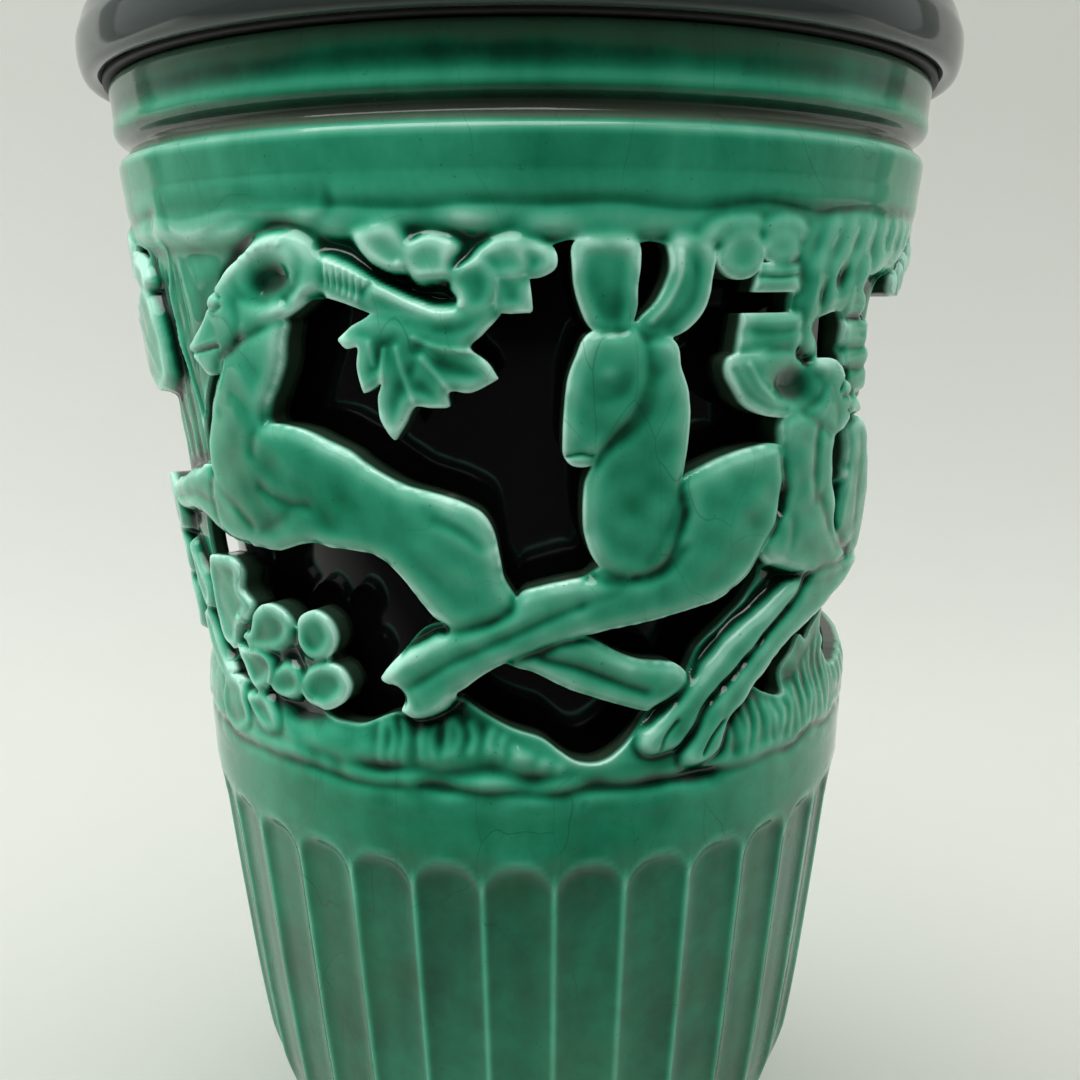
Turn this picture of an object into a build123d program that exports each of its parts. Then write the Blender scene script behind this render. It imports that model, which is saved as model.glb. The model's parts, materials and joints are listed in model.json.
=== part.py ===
"""Ceramic television lamp: an openwork sleeve with a lift-out inner bowl, over a screw-base lamp on a threaded pipe.

Millimetres, +Z up. The origin is the centre of the felt on the table, and the front faces -Y.
"""

import os
from math import cos, pi, radians, sin

from build123d import *

# ---- driving dimensions -------------------------------------------------------------------------------------
FELT = 1.5  # thickness of the felt ring under the foot
FOOT_RADIUS, FOOT_HEIGHT = 57.5, 14.5
RECESS_RADIUS = 46.0  # hollow under the foot
CORD_EXIT, CORD_HOLE_RADIUS = 9.5, 4.5  # height and radius of the cord hole at the back of the foot
FLOOR_LOW, FLOOR_HIGH = 24.0, 30.0  # the sleeve's cast floor
WALL = 5.5  # belly wall
FRIEZE_WALL = 6.5
FLUTES = 34
FLUTE_HALF, FLUTE_DEPTH = 6.2, 1.4  # half width and depth of one flute
FIRST_FLUTE = 9.8  # degrees round from the front
FLUTE_PATH = [(72.3, 48.0), (78.6, 88.0), (82.4, 129.0)]  # (radius, height) along a flute's middle
DATUM = 252.0  # window heights in the frieze are measured from this level
WINDOW_INNER, WINDOW_OUTER = 62.0, 118.0  # radii between which a window cutter runs
FRIEZE_TURN, FRIEZE_SPREAD, FRIEZE_LEAN = 0.86, 1.0045, -0.01  # how the drawn frieze goes round the wall
SLEEVE_TOP, SLEEVE_TOP_RADIUS = 296.0, 96.6
MOUTH_RADIUS, MOUTH_DEPTH = 88.5, 16.0  # the bore at the sleeve's top that centres the bowl
SEAT, SEAT_RADIUS = 1.4, 97.6  # ring between the sleeve and the bowl's rim
RIM_RADIUS, RIM_TOP, RIM_INNER = 102.4, 316.0, 80.0
RIM_LIP, RIM_LIP_LOW = (99.7, 296.4), (101.5, 297.6)  # lowest point under the rim, and where its outer face begins
RIM_FACE, RIM_SHOULDER = (101.6, 306.0), (98.4, 312.6)  # top of the outer face, and a point of the rounded top
RIM_CREST, RIM_INSIDE = 90.0, (84.0, 312.8)  # radius of the highest ring, and a point inside it
BOWL_WALL = 4.0
BOWL_OPENING = 36.0  # radius of the hole in the bowl's floor, which clears the bulb
THREAD_PLAY = 0.05  # radial play where a thread is drawn as a plain cylinder
PIPE_RADIUS, PIPE_BORE = 5.1, 3.4
PIPE_LOW, PIPE_HIGH = 16.0, 127.0
CUSHION, WASHER, WASHER_RADIUS = 1.2, 1.2, 12.7
NUT_FLATS, NUT_THICK = 14.3, 4.0
CAP_LOW, CAP_HIGH, CAP_RADIUS, CAP_HUB = 118.0, 142.0, 17.6, 8.0
SET_SCREW_LEVEL = 120.4
SHELL_LOW, SHELL_HIGH, SHELL_RADIUS = 138.0, 180.0, 16.8
SHEET = 0.7  # brass sheet
LINER_RADIUS, LINER_THICK = 16.0, 0.6  # fibre insulating sleeve inside the shell
CORE_LOW, CORE_HIGH, CORE_RADIUS = 141.0, 153.0, 15.2
TERMINAL_LEVEL, TERMINAL_HEAD, TERMINAL_FLAT = 147.0, 3.2, 12.0
THREAD_PITCH, THREADS = 3.629, 6  # lamp screw thread
SOCKET_THREAD = 13.15  # smallest inner radius of the screw shell
FOIL = 0.4  # sheet of the screw shell and the bulb's base
BASE_THREAD = 13.0  # largest radius of the bulb's base
THREAD_DEPTH = 0.6
TIP_LEVEL, TIP_RADIUS, TIP_THICK = 158.4, 4.5, 1.4
BASE_LOW, BASE_HIGH = 163.0, 186.4
GLASS, BULB_RADIUS, BULB_CENTRE = 0.8, 30.0, 237.0
CORD_RADIUS, LEAD_RADIUS, LEAD_START = 2.5, 1.1, 124.0
SWITCH_BACK = 135.0  # the switch's middle, behind the lamp's axis
SWITCH_LENGTH, SWITCH_WIDTH, SWITCH_HEIGHT, SWITCH_WALL = 52.0, 25.0, 16.0, 2.2
WHEEL_RADIUS, WHEEL_THICK, WHEEL_OFFSET, POST_RADIUS = 11.5, 4.4, 4.5, 2.5
PLUG_X, PLUG_BACK, PLUG_LENGTH = -50.0, 128.0, 30.0
BLADE_SPREAD, BLADE_WIDTH, BLADE_THICK, BLADE_LENGTH = 12.7, 6.3, 1.5, 17.0

os.makedirs("parts", exist_ok=True)


def keep(part, label):
    """Names a finished piece and writes it."""
    part.label = label
    export_step(part, f"parts/{label}.step")


def ring(radius_out, radius_in, low, high):
    """A plain ring about the lamp's axis."""
    with BuildPart() as made:
        with BuildSketch(Plane.XY.offset(low)):
            Circle(radius_out)
            Circle(radius_in, mode=Mode.SUBTRACT)
        extrude(amount=high - low)
    return made.part


# ---- openwork sleeve ----------------------------------------------------------------------------------------
BELLY = [(53.5, 18.5), (59.0, 25.0), (66.5, 35.0), (72.0, 47.0), (75.2, 59.0), (77.4, 77.0), (79.2, 94.0)]
BELLY += [(80.9, 112.0), (82.7, 133.0)]
FRIEZE = [(84.0, 150.0), (84.6, 166.0), (89.0, 205.0), (92.4, 235.0), (94.7, 266.0)]
GROOVE = [(95.3, 278.0), (93.4, 281.5), (95.6, 285.0)]

# Each window of one half of the frieze is a closed outline made of smooth runs that meet at corners. A point is
# (degrees round from the front, positive towards +X, height above the datum). The half repeats after half a turn.
# On the wall the degrees are spread and turned a little, and lean round with the height.
OVER_BUCK = [
    [(-33.8, -25.0), (-30.0, -15.0), (-28.3, -6.0)],
    [(-28.3, -6.0), (-24.6, -3.1), (-18.2, -5.4)],
    [(-18.2, -5.4), (-19.8, -6.2), (-21.5, -9.0)],
    [(-21.5, -9.0), (-20.6, -10.3), (-19.1, -10.5)],
    [(-19.1, -10.5), (-19.5, -14.0), (-18.9, -18.6)],
    [(-18.9, -18.6), (-16.8, -17.0)],
    [(-16.8, -17.0), (-17.3, -21.5), (-15.9, -27.2)],
    [(-15.9, -27.2), (-14.4, -24.3), (-13.0, -20.9)],
    [(-13.0, -20.9), (-9.2, -20.9)],
    [(-9.2, -20.9), (-8.6, -18.4)],
    [(-8.6, -18.4), (-6.5, -18.4), (-3.5, -15.9)],
    [(-3.5, -15.9), (-4.5, -12.8), (-6.0, -10.1)],
    [(-6.0, -10.1), (-4.5, -7.5), (-2.9, -4.0)],
    [(-2.9, -4.0), (0.6, -4.0)],
    [(0.6, -4.0), (0.7, 1.9)],
    [(0.7, 1.9), (2.6, 3.0), (3.3, 7.2)],
    [(3.3, 7.2), (5.7, 8.0)],
    [(5.7, 8.0), (5.5, 1.0), (6.2, -4.5), (7.4, -7.5)],
    [(7.4, -7.5), (5.1, -12.5), (4.0, -22.0), (4.4, -30.0), (6.2, -31.8), (7.4, -31.6)],
    [(7.4, -31.6), (6.2, -38.5), (6.6, -48.0), (9.3, -52.8)],
    [(9.3, -52.8), (3.0, -54.8), (-2.6, -57.2)],
    [(-2.6, -57.2), (-4.9, -44.0), (-7.6, -39.8), (-14.1, -36.5), (-21.5, -30.0), (-33.8, -25.0)],
]
BETWEEN_EARS = [
    [(12.0, 7.0), (12.2, 1.0), (11.5, -4.6)],
    [(11.5, -4.6), (13.6, -3.5), (15.2, 0.0), (16.1, 5.0)],
    [(16.1, 5.0), (14.5, 8.0)],
    [(14.5, 8.0), (12.0, 7.0)],
]
BEHIND_DOE = [
    [(18.4, -35.6), (19.0, -24.0), (18.2, -16.0), (17.0, -9.8)],
    [(17.0, -9.8), (19.8, -4.0), (20.8, 4.6)],
    [(20.8, 4.6), (22.5, 2.0), (24.5, 1.5), (28.0, 3.8)],
    [(28.0, 3.8), (27.7, -0.8)],
    [(27.7, -0.8), (32.3, -1.0)],
    [(32.3, -1.0), (32.5, -4.4)],
    [(32.5, -4.4), (26.0, -7.3)],
    [(26.0, -7.3), (23.7, -16.5), (25.5, -21.0), (31.8, -25.0)],
    [(31.8, -25.0), (33.0, -30.4)],
    [(33.0, -30.4), (27.0, -30.5), (18.4, -35.6)],
]
BESIDE_HORN = [
    [(36.0, -7.3), (37.8, -12.0), (39.3, -14.6)],
    [(39.3, -14.6), (42.6, -15.2)],
    [(42.6, -15.2), (42.7, -6.3)],
    [(42.7, -6.3), (39.0, -5.0), (36.0, -7.3)],
]
AT_THROAT = [
    [(44.6, -30.0), (44.2, -35.0), (45.5, -41.0)],
    [(45.5, -41.0), (48.8, -38.0), (48.5, -30.0)],
    [(48.5, -30.0), (46.5, -28.8), (44.6, -30.0)],
]
BESIDE_STAG = [
    [(51.5, -25.5), (54.5, -21.0), (54.5, -8.0), (57.0, -1.0)],
    [(57.0, -1.0), (64.0, 3.5), (76.0, 6.5), (92.0, 7.0), (104.0, 6.0)],
    [(104.0, 6.0), (109.0, 3.8), (114.0, 5.5)],
    [(114.0, 5.5), (114.8, 2.4)],
    [(114.8, 2.4), (118.5, 0.6)],
    [(118.5, 0.6), (118.3, -1.0)],
    [(118.3, -1.0), (111.0, -3.4), (106.5, -10.0), (110.5, -18.0), (118.0, -21.5)],
    [(118.0, -21.5), (117.5, -39.0)],
    [(117.5, -39.0), (110.0, -44.0)],
    [(110.0, -44.0), (108.0, -60.0), (106.0, -78.0)],
    [(106.0, -78.0), (92.0, -85.5), (76.0, -87.5), (59.0, -86.0)],
    [(59.0, -86.0), (57.5, -75.0), (60.5, -62.0), (60.5, -48.0), (57.5, -38.5), (51.5, -25.5)],
]
UNDER_CHIN = [
    [(-45.2, -16.9), (-41.4, -16.9)],
    [(-41.4, -16.9), (-44.6, -26.5), (-46.4, -34.2)],
    [(-46.4, -34.2), (-50.0, -34.8)],
    [(-50.0, -34.8), (-48.4, -24.0), (-45.2, -16.9)],
]
UNDER_BUCK = [
    [(-55.0, -49.4), (-47.0, -50.4), (-37.0, -52.0), (-30.8, -49.2), (-20.0, -50.2), (-11.2, -64.5)],
    [(-11.2, -64.5), (-15.7, -69.5), (-20.8, -76.7)],
    [(-20.8, -76.7), (-17.8, -80.6)],
    [(-17.8, -80.6), (-20.9, -85.2), (-26.0, -88.4), (-30.8, -86.6)],
    [(-30.8, -86.6), (-26.4, -80.5), (-30.0, -74.6)],
    [(-30.0, -74.6), (-28.2, -68.5), (-31.3, -64.2), (-34.8, -70.0)],
    [(-34.8, -70.0), (-39.8, -64.8), (-45.0, -71.5)],
    [(-45.0, -71.5), (-49.5, -66.0), (-53.5, -59.3), (-55.2, -61.5)],
    [(-55.2, -61.5), (-57.6, -55.0), (-55.0, -49.4)],
]
BETWEEN_PETALS = [
    [(-54.5, -84.0), (-50.5, -78.6), (-47.8, -84.4)],
    [(-47.8, -84.4), (-54.5, -84.0)],
]
UNDER_DOE = [
    [(6.6, -67.0), (12.4, -64.0), (22.8, -62.0), (28.5, -58.0), (31.7, -52.5)],
    [(31.7, -52.5), (31.5, -59.3)],
    [(31.5, -59.3), (26.5, -66.0), (21.3, -75.7)],
    [(21.3, -75.7), (14.0, -72.3), (6.6, -67.0)],
]
UNDER_HIND_LEG = [
    [(-4.6, -72.4), (6.0, -78.5), (16.7, -84.4)],
    [(16.7, -84.4), (12.5, -91.5), (7.5, -94.4), (2.0, -89.4), (-4.0, -86.0), (-10.2, -80.8)],
    [(-10.2, -80.8), (-10.3, -78.0)],
    [(-10.3, -78.0), (-4.6, -72.4)],
]
UNDER_STAG_LEGS = [
    [(33.0, -83.4), (38.0, -76.0), (46.0, -70.3), (55.2, -65.4)],
    [(55.2, -65.4), (55.0, -73.0), (51.0, -79.5), (47.5, -80.5)],
    [(47.5, -80.5), (46.3, -76.2)],
    [(46.3, -76.2), (43.0, -82.0), (41.6, -87.6)],
    [(41.6, -87.6), (37.5, -86.2), (33.0, -83.4)],
]
WINDOWS = [OVER_BUCK, BETWEEN_EARS, BEHIND_DOE, BESIDE_HORN, AT_THROAT, BESIDE_STAG, UNDER_CHIN, UNDER_BUCK]
WINDOWS += [BETWEEN_PETALS, UNDER_DOE, UNDER_HIND_LEG, UNDER_STAG_LEGS]


def frieze_radius(height):
    """The sleeve's outer radius at a height above the datum, by straight lines between the frieze's points."""
    level = DATUM + height
    for (r_low, z_low), (r_high, z_high) in zip(FRIEZE, FRIEZE[1:]):
        if level <= z_high:
            return r_low + (r_high - r_low) * (level - z_low) / (z_high - z_low)
    return FRIEZE[-1][0]


def round_wall(degrees, height):
    """Where a drawn point lies round the wall."""
    return FRIEZE_SPREAD * degrees + FRIEZE_TURN + FRIEZE_LEAN * height


def window_cutter(runs, turn):
    """The solid that opens one window, cut square to the wall at the window's middle, turned about the axis."""
    placed = [[(round_wall(*point), point[1]) for point in run] for run in runs]
    degrees = [point[0] for run in placed for point in run]
    middle = (min(degrees) + max(degrees)) / 2
    facing = radians(middle + turn)
    outward = Vector(sin(facing), -cos(facing), 0)
    across = Vector(cos(facing), sin(facing), 0)
    face = Plane(origin=outward * WINDOW_INNER + Vector(0, 0, DATUM), x_dir=across, z_dir=outward)

    def flat(point):
        return (frieze_radius(point[1]) * sin(radians(point[0] - middle)), point[1])

    with BuildPart() as made:
        with BuildSketch(face):
            with BuildLine():
                for run in placed:
                    points = [flat(point) for point in run]
                    if len(points) == 2:
                        Line(*points)
                    else:
                        Spline(*points)
            make_face()
        extrude(amount=WINDOW_OUTER - WINDOW_INNER)
    return made.part


def flute_cutter():
    """One shallow flute, centred on the front: a slim lens swept down the belly along an arc."""
    with BuildPart() as made:
        with BuildLine() as path:
            ThreePointArc(*[(0, -radius, level) for radius, level in FLUTE_PATH])
        with BuildSketch(Plane(path.line @ 0, x_dir=(1, 0, 0), z_dir=path.line % 0)):
            with BuildLine():
                scoop = ThreePointArc((-FLUTE_HALF, 1.0), (0, -FLUTE_DEPTH), (FLUTE_HALF, 1.0))
                Line(scoop @ 1, scoop @ 0)
            make_face()
        sweep()
    return made.part


with BuildPart() as sleeve:
    with BuildSketch(Plane.XZ):
        with BuildLine():
            Polyline((RECESS_RADIUS, FELT), (FOOT_RADIUS - 2, FELT), (FOOT_RADIUS, FELT + 2),
                     (FOOT_RADIUS, FOOT_HEIGHT - 2), (FOOT_RADIUS - 2, FOOT_HEIGHT), BELLY[0])
            Spline(*BELLY)
            Polyline(BELLY[-1], (83.6, BELLY[-1][1] + 1.5), FRIEZE[0])
            Spline(*FRIEZE)
            Line(FRIEZE[-1], GROOVE[0])
            ThreePointArc(*GROOVE)
            Polyline(GROOVE[-1], (SLEEVE_TOP_RADIUS, SLEEVE_TOP - 2), (SLEEVE_TOP_RADIUS - 1, SLEEVE_TOP),
                     (MOUTH_RADIUS, SLEEVE_TOP), (MOUTH_RADIUS, SLEEVE_TOP - MOUTH_DEPTH),
                     (FRIEZE[-1][0] - FRIEZE_WALL, FRIEZE[-1][1]))
            Spline(*[(r - FRIEZE_WALL, z) for r, z in reversed(FRIEZE)])
            Line((FRIEZE[0][0] - FRIEZE_WALL, FRIEZE[0][1]), (BELLY[-1][0] - WALL, BELLY[-1][1]))
            Spline(*[(r - WALL, z) for r, z in reversed(BELLY[3:])])
            Polyline((BELLY[3][0] - WALL, BELLY[3][1]), (56.0, FLOOR_HIGH + 2), (52.0, FLOOR_HIGH),
                     (0, FLOOR_HIGH), (0, FLOOR_LOW), (RECESS_RADIUS - 2, FLOOR_LOW), (RECESS_RADIUS, FELT))
        make_face()
    revolve(axis=Axis.Z)
    with Locations((0, 0, FLOOR_LOW)):
        Hole(PIPE_RADIUS + 0.5)
    with BuildSketch(Plane.XZ.offset(-RECESS_RADIUS + 6)):
        with Locations((0, CORD_EXIT)):
            Circle(CORD_HOLE_RADIUS)
    extrude(amount=-30, mode=Mode.SUBTRACT)

flute = flute_cutter()
flutes = [flute.rotate(Axis.Z, FIRST_FLUTE + 360 * i / FLUTES) for i in range(FLUTES)]
windows = [window_cutter(runs, turn) for runs in WINDOWS for turn in (0, 180)]
pierced = sleeve.part.cut(*flutes, *windows)
keep(Part(max(pierced.solids(), key=lambda solid: solid.volume).wrapped), "openwork_sleeve")

keep(ring(FOOT_RADIUS - 3, RECESS_RADIUS + 0.5, 0, FELT), "felt_ring")

# ---- bowl and the ring it sits on -----------------------------------------------------------------------------
BOWL_SIDE = [(72.0, 152.0), (72.6, 166.0), (77.0, 205.0), (80.4, 235.0), (82.6, 266.0), (83.0, 276.0)]
SEAT_LEVEL = SLEEVE_TOP + SEAT

with BuildPart() as bowl:
    with BuildSketch(Plane.XZ):
        with BuildLine():
            Line((BOWL_OPENING, 140.0), (62.0, 142.0))
            ThreePointArc((62.0, 142.0), (69.4, 145.2), BOWL_SIDE[0])
            Spline(*BOWL_SIDE)
            Polyline(BOWL_SIDE[-1], (MOUTH_RADIUS - 0.3, 281.0), (MOUTH_RADIUS - 0.3, SEAT_LEVEL),
                     (SEAT_RADIUS + 0.2, SEAT_LEVEL))
            ThreePointArc((SEAT_RADIUS + 0.2, SEAT_LEVEL), RIM_LIP, RIM_LIP_LOW)
            ThreePointArc(RIM_LIP_LOW, (RIM_RADIUS, (RIM_LIP_LOW[1] + RIM_FACE[1]) / 2), RIM_FACE)
            ThreePointArc(RIM_FACE, RIM_SHOULDER, (RIM_CREST, RIM_TOP))
            ThreePointArc((RIM_CREST, RIM_TOP), RIM_INSIDE, (RIM_INNER, 304.0))
            Line((RIM_INNER, 304.0), (BOWL_SIDE[-1][0] - BOWL_WALL, BOWL_SIDE[-1][1]))
            Spline(*[(r - BOWL_WALL, z) for r, z in reversed(BOWL_SIDE)])
            ThreePointArc((BOWL_SIDE[0][0] - BOWL_WALL, BOWL_SIDE[0][1]), (66.2, 147.6), (61.0, 146.0))
            Line((61.0, 146.0), (BOWL_OPENING + 1, 144.6))
            ThreePointArc((BOWL_OPENING + 1, 144.6), (BOWL_OPENING - 1.4, 142.3), (BOWL_OPENING, 140.0))
        make_face()
    revolve(axis=Axis.Z)
keep(bowl.part, "inner_bowl")

keep(ring(SEAT_RADIUS, MOUTH_RADIUS + 0.2, SLEEVE_TOP, SEAT_LEVEL), "bowl_gasket")

# ---- pipe, nuts and washers -----------------------------------------------------------------------------------
keep(ring(PIPE_RADIUS, PIPE_BORE, PIPE_LOW, PIPE_HIGH), "lamp_pipe")

with BuildPart() as cushions:
    for low in (FLOOR_LOW - CUSHION, FLOOR_HIGH):
        with BuildSketch(Plane.XY.offset(low)):
            Circle(WASHER_RADIUS + 1)
            Circle(PIPE_RADIUS + THREAD_PLAY, mode=Mode.SUBTRACT)
        extrude(amount=CUSHION)
keep(cushions.part, "cushion_washers")

with BuildPart() as washers:
    for low in (FLOOR_LOW - CUSHION - WASHER, FLOOR_HIGH + CUSHION):
        with BuildSketch(Plane.XY.offset(low)):
            Circle(WASHER_RADIUS)
            Circle(PIPE_RADIUS + THREAD_PLAY, mode=Mode.SUBTRACT)
        extrude(amount=WASHER)
keep(washers.part, "pipe_washers")

with BuildPart() as nuts:
    for low in (FLOOR_LOW - CUSHION - WASHER - NUT_THICK, FLOOR_HIGH + CUSHION + WASHER):
        with BuildSketch(Plane.XY.offset(low)):
            RegularPolygon(NUT_FLATS / 2, 6, major_radius=False)
            Circle(PIPE_RADIUS + THREAD_PLAY, mode=Mode.SUBTRACT)
        extrude(amount=NUT_THICK)
    chamfer(nuts.edges().filter_by(GeomType.LINE).filter_by(Axis.Z, reverse=True), length=0.5)
keep(nuts.part, "pipe_nuts")

# ---- lamp socket ----------------------------------------------------------------------------------------------
with BuildPart() as cap:
    with BuildSketch(Plane.XZ):
        with BuildLine():
            Polyline((PIPE_RADIUS + THREAD_PLAY, CAP_LOW), (CAP_HUB, CAP_LOW), (CAP_HUB, CAP_LOW + 5))
            ThreePointArc((CAP_HUB, CAP_LOW + 5), (14.6, CAP_LOW + 8), (CAP_RADIUS, CAP_LOW + 15))
            Polyline((CAP_RADIUS, CAP_LOW + 15), (CAP_RADIUS, CAP_HIGH), (CAP_RADIUS - SHEET, CAP_HIGH),
                     (CAP_RADIUS - SHEET, CAP_LOW + 15))
            ThreePointArc((CAP_RADIUS - SHEET, CAP_LOW + 15), (14.1, CAP_LOW + 8.6), (CAP_HUB, CAP_LOW + 6))
            Polyline((CAP_HUB, CAP_LOW + 6), (PIPE_RADIUS + THREAD_PLAY, CAP_LOW + 6),
                     (PIPE_RADIUS + THREAD_PLAY, CAP_LOW))
        make_face()
    revolve(axis=Axis.Z)
    with BuildSketch(Plane.YZ):
        with Locations((0, SET_SCREW_LEVEL)):
            Circle(1.55)
    extrude(amount=CAP_HUB + 2, mode=Mode.SUBTRACT)
keep(cap.part, "socket_cap")

with BuildPart() as set_screw:
    with BuildSketch(Plane.YZ.offset(PIPE_RADIUS + 0.05)):
        with Locations((0, SET_SCREW_LEVEL)):
            Circle(1.5)
    extrude(amount=4)
    with BuildSketch(Plane.YZ.offset(CAP_HUB + 0.3)):
        with Locations((0, SET_SCREW_LEVEL)):
            Circle(2.5)
    extrude(amount=1.6)
    with BuildSketch(Plane.YZ.offset(CAP_HUB + 1.9)):
        with Locations((0, SET_SCREW_LEVEL)):
            Rectangle(5.2, 0.7)
    extrude(amount=-0.8, mode=Mode.SUBTRACT)
keep(set_screw.part, "socket_set_screw")

with BuildPart() as shell:
    with BuildSketch(Plane.XZ):
        with BuildLine():
            Polyline((SHELL_RADIUS - SHEET, SHELL_LOW), (SHELL_RADIUS, SHELL_LOW), (SHELL_RADIUS, SHELL_HIGH - 3))
            ThreePointArc((SHELL_RADIUS, SHELL_HIGH - 3), (SHELL_RADIUS + 1, SHELL_HIGH - 1.5),
                          (SHELL_RADIUS, SHELL_HIGH))
            Line((SHELL_RADIUS, SHELL_HIGH), (SHELL_RADIUS - SHEET, SHELL_HIGH))
            Line((SHELL_RADIUS - SHEET, SHELL_HIGH), (SHELL_RADIUS - SHEET, SHELL_LOW))
        make_face()
    revolve(axis=Axis.Z)
keep(shell.part, "socket_shell")

keep(ring(LINER_RADIUS, LINER_RADIUS - LINER_THICK, SHELL_LOW + 1, SHELL_HIGH - 1), "socket_insulator")

with BuildPart() as core:
    with BuildSketch(Plane.XY.offset(CORE_LOW)):
        Circle(CORE_RADIUS)
        with Locations((-TERMINAL_FLAT - 3, 0), (TERMINAL_FLAT + 3, 0)):
            Rectangle(6, 9, mode=Mode.SUBTRACT)
    extrude(amount=CORE_HIGH - CORE_LOW)
    with BuildSketch(Plane.YZ.offset(-CORE_RADIUS)):
        with Locations((0, TERMINAL_LEVEL)):
            Circle(1.85)
    extrude(amount=2 * CORE_RADIUS, mode=Mode.SUBTRACT)
keep(core.part, "socket_core")

with BuildPart() as terminals:
    for side in (-1, 1):
        with BuildSketch(Plane.YZ.offset(side * 8.0)):
            with Locations((0, TERMINAL_LEVEL)):
                Circle(1.8)
        extrude(amount=side * (TERMINAL_FLAT - 8.0))
        with BuildSketch(Plane.YZ.offset(side * TERMINAL_FLAT)):
            with Locations((0, TERMINAL_LEVEL)):
                Circle(TERMINAL_HEAD)
        extrude(amount=side * 1.6)
        with BuildSketch(Plane.YZ.offset(side * (TERMINAL_FLAT + 1.6))):
            with Locations((0, TERMINAL_LEVEL)):
                Rectangle(6.6, 0.8)
        extrude(amount=-side * 0.8, mode=Mode.SUBTRACT)
keep(terminals.part, "terminal_screws")


def rippled(radius, low, count, depth):
    """Points up a wall rolled with a lamp thread, as (radius, level), drawn as rings."""
    points = []
    for turn in range(count):
        points.append((radius - depth, low + turn * THREAD_PITCH))
        points.append((radius, low + (turn + 0.5) * THREAD_PITCH))
    points.append((radius - depth, low + count * THREAD_PITCH))
    return points


with BuildPart() as screw_shell:
    wall = rippled(SOCKET_THREAD + THREAD_DEPTH + FOIL, CORE_HIGH + 1, THREADS, THREAD_DEPTH)
    inside = [(radius - FOIL, level) for radius, level in wall]
    inside[0] = (wall[0][0] - FOIL, CORE_HIGH + FOIL)
    with BuildSketch(Plane.XZ):
        with BuildLine():
            Polyline((6.0, CORE_HIGH), (wall[0][0], CORE_HIGH), *wall, *reversed(inside),
                     (6.0, CORE_HIGH + FOIL), close=True)
        make_face()
    revolve(axis=Axis.Z)
keep(screw_shell.part, "socket_screw_shell")

with BuildPart() as contact:
    with BuildSketch(Plane.XY.offset(CORE_HIGH)):
        Circle(3.6)
    extrude(amount=0.8)
    with BuildSketch(Plane.XY.offset(CORE_HIGH + 0.8)):
        Circle(2.4)
    extrude(amount=TIP_LEVEL - 0.05 - CORE_HIGH - 0.8)
    fillet(contact.faces().sort_by(Axis.Z)[-1].edges(), radius=0.8)
keep(contact.part, "socket_contact")

# ---- bulb -----------------------------------------------------------------------------------------------------
with BuildPart() as tip:
    with BuildSketch(Plane.XY.offset(TIP_LEVEL)):
        Circle(TIP_RADIUS)
    extrude(amount=TIP_THICK)
    fillet(tip.faces().sort_by(Axis.Z)[0].edges(), radius=1.0)
keep(tip.part, "bulb_tip")

with BuildPart() as bulb_insulator:
    with BuildSketch(Plane.XZ):
        Polygon((0, TIP_LEVEL + TIP_THICK + 0.02), (TIP_RADIUS + 0.6, TIP_LEVEL + TIP_THICK + 0.02),
                (9.4, BASE_LOW), (9.4, BASE_LOW + 1), (0, BASE_LOW + 1), align=None)
    revolve(axis=Axis.Z)
keep(bulb_insulator.part, "bulb_insulator")

with BuildPart() as base:
    wall = rippled(BASE_THREAD, BASE_LOW + 2, 5, THREAD_DEPTH)
    with BuildSketch(Plane.XZ):
        with BuildLine():
            Polyline((9.45, BASE_LOW), (10.2, BASE_LOW), *wall, (12.4, BASE_HIGH), (12.0, BASE_HIGH),
                     *[(radius - FOIL, level) for radius, level in reversed(wall)],
                     (10.0, BASE_LOW + FOIL), (9.45, BASE_LOW + FOIL), close=True)
        make_face()
    revolve(axis=Axis.Z)
keep(base.part, "bulb_base")

BULB_SIDE = [(11.7, 176.0), (11.8, 186.0), (13.2, 194.0), (20.2, 207.0), (27.6, 222.0), (BULB_RADIUS, BULB_CENTRE)]
BULB_INSIDE = [(r - GLASS, z) for r, z in BULB_SIDE]
DOME = BULB_RADIUS * sin(pi / 4)
DOME_INSIDE = (BULB_RADIUS - GLASS) * sin(pi / 4)
with BuildPart() as envelope:
    with BuildSketch(Plane.XZ):
        with BuildLine():
            Line(BULB_INSIDE[0], BULB_SIDE[0])
            Spline(*BULB_SIDE, tangents=[(0, 1), (0, 1)])
            ThreePointArc(BULB_SIDE[-1], (DOME, BULB_CENTRE + DOME), (0, BULB_CENTRE + BULB_RADIUS))
            Line((0, BULB_CENTRE + BULB_RADIUS), (0, BULB_CENTRE + BULB_RADIUS - GLASS))
            ThreePointArc((0, BULB_CENTRE + BULB_RADIUS - GLASS), (DOME_INSIDE, BULB_CENTRE + DOME_INSIDE),
                          BULB_INSIDE[-1])
            Spline(*reversed(BULB_INSIDE), tangents=[(0, -1), (0, -1)])
        make_face()
    revolve(axis=Axis.Z)
keep(envelope.part, "bulb_envelope")

with BuildPart() as stem:
    with BuildSketch(Plane.XZ):
        Polygon((0, 176.0), (10.8, 176.0), (10.8, 177.2), (4.6, 184.0), (4.0, 204.0), (2.0, 206.0),
                (1.4, 222.0), (2.2, 223.5), (0, 225.0), align=None)
    revolve(axis=Axis.Z)
keep(stem.part, "bulb_stem")

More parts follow.
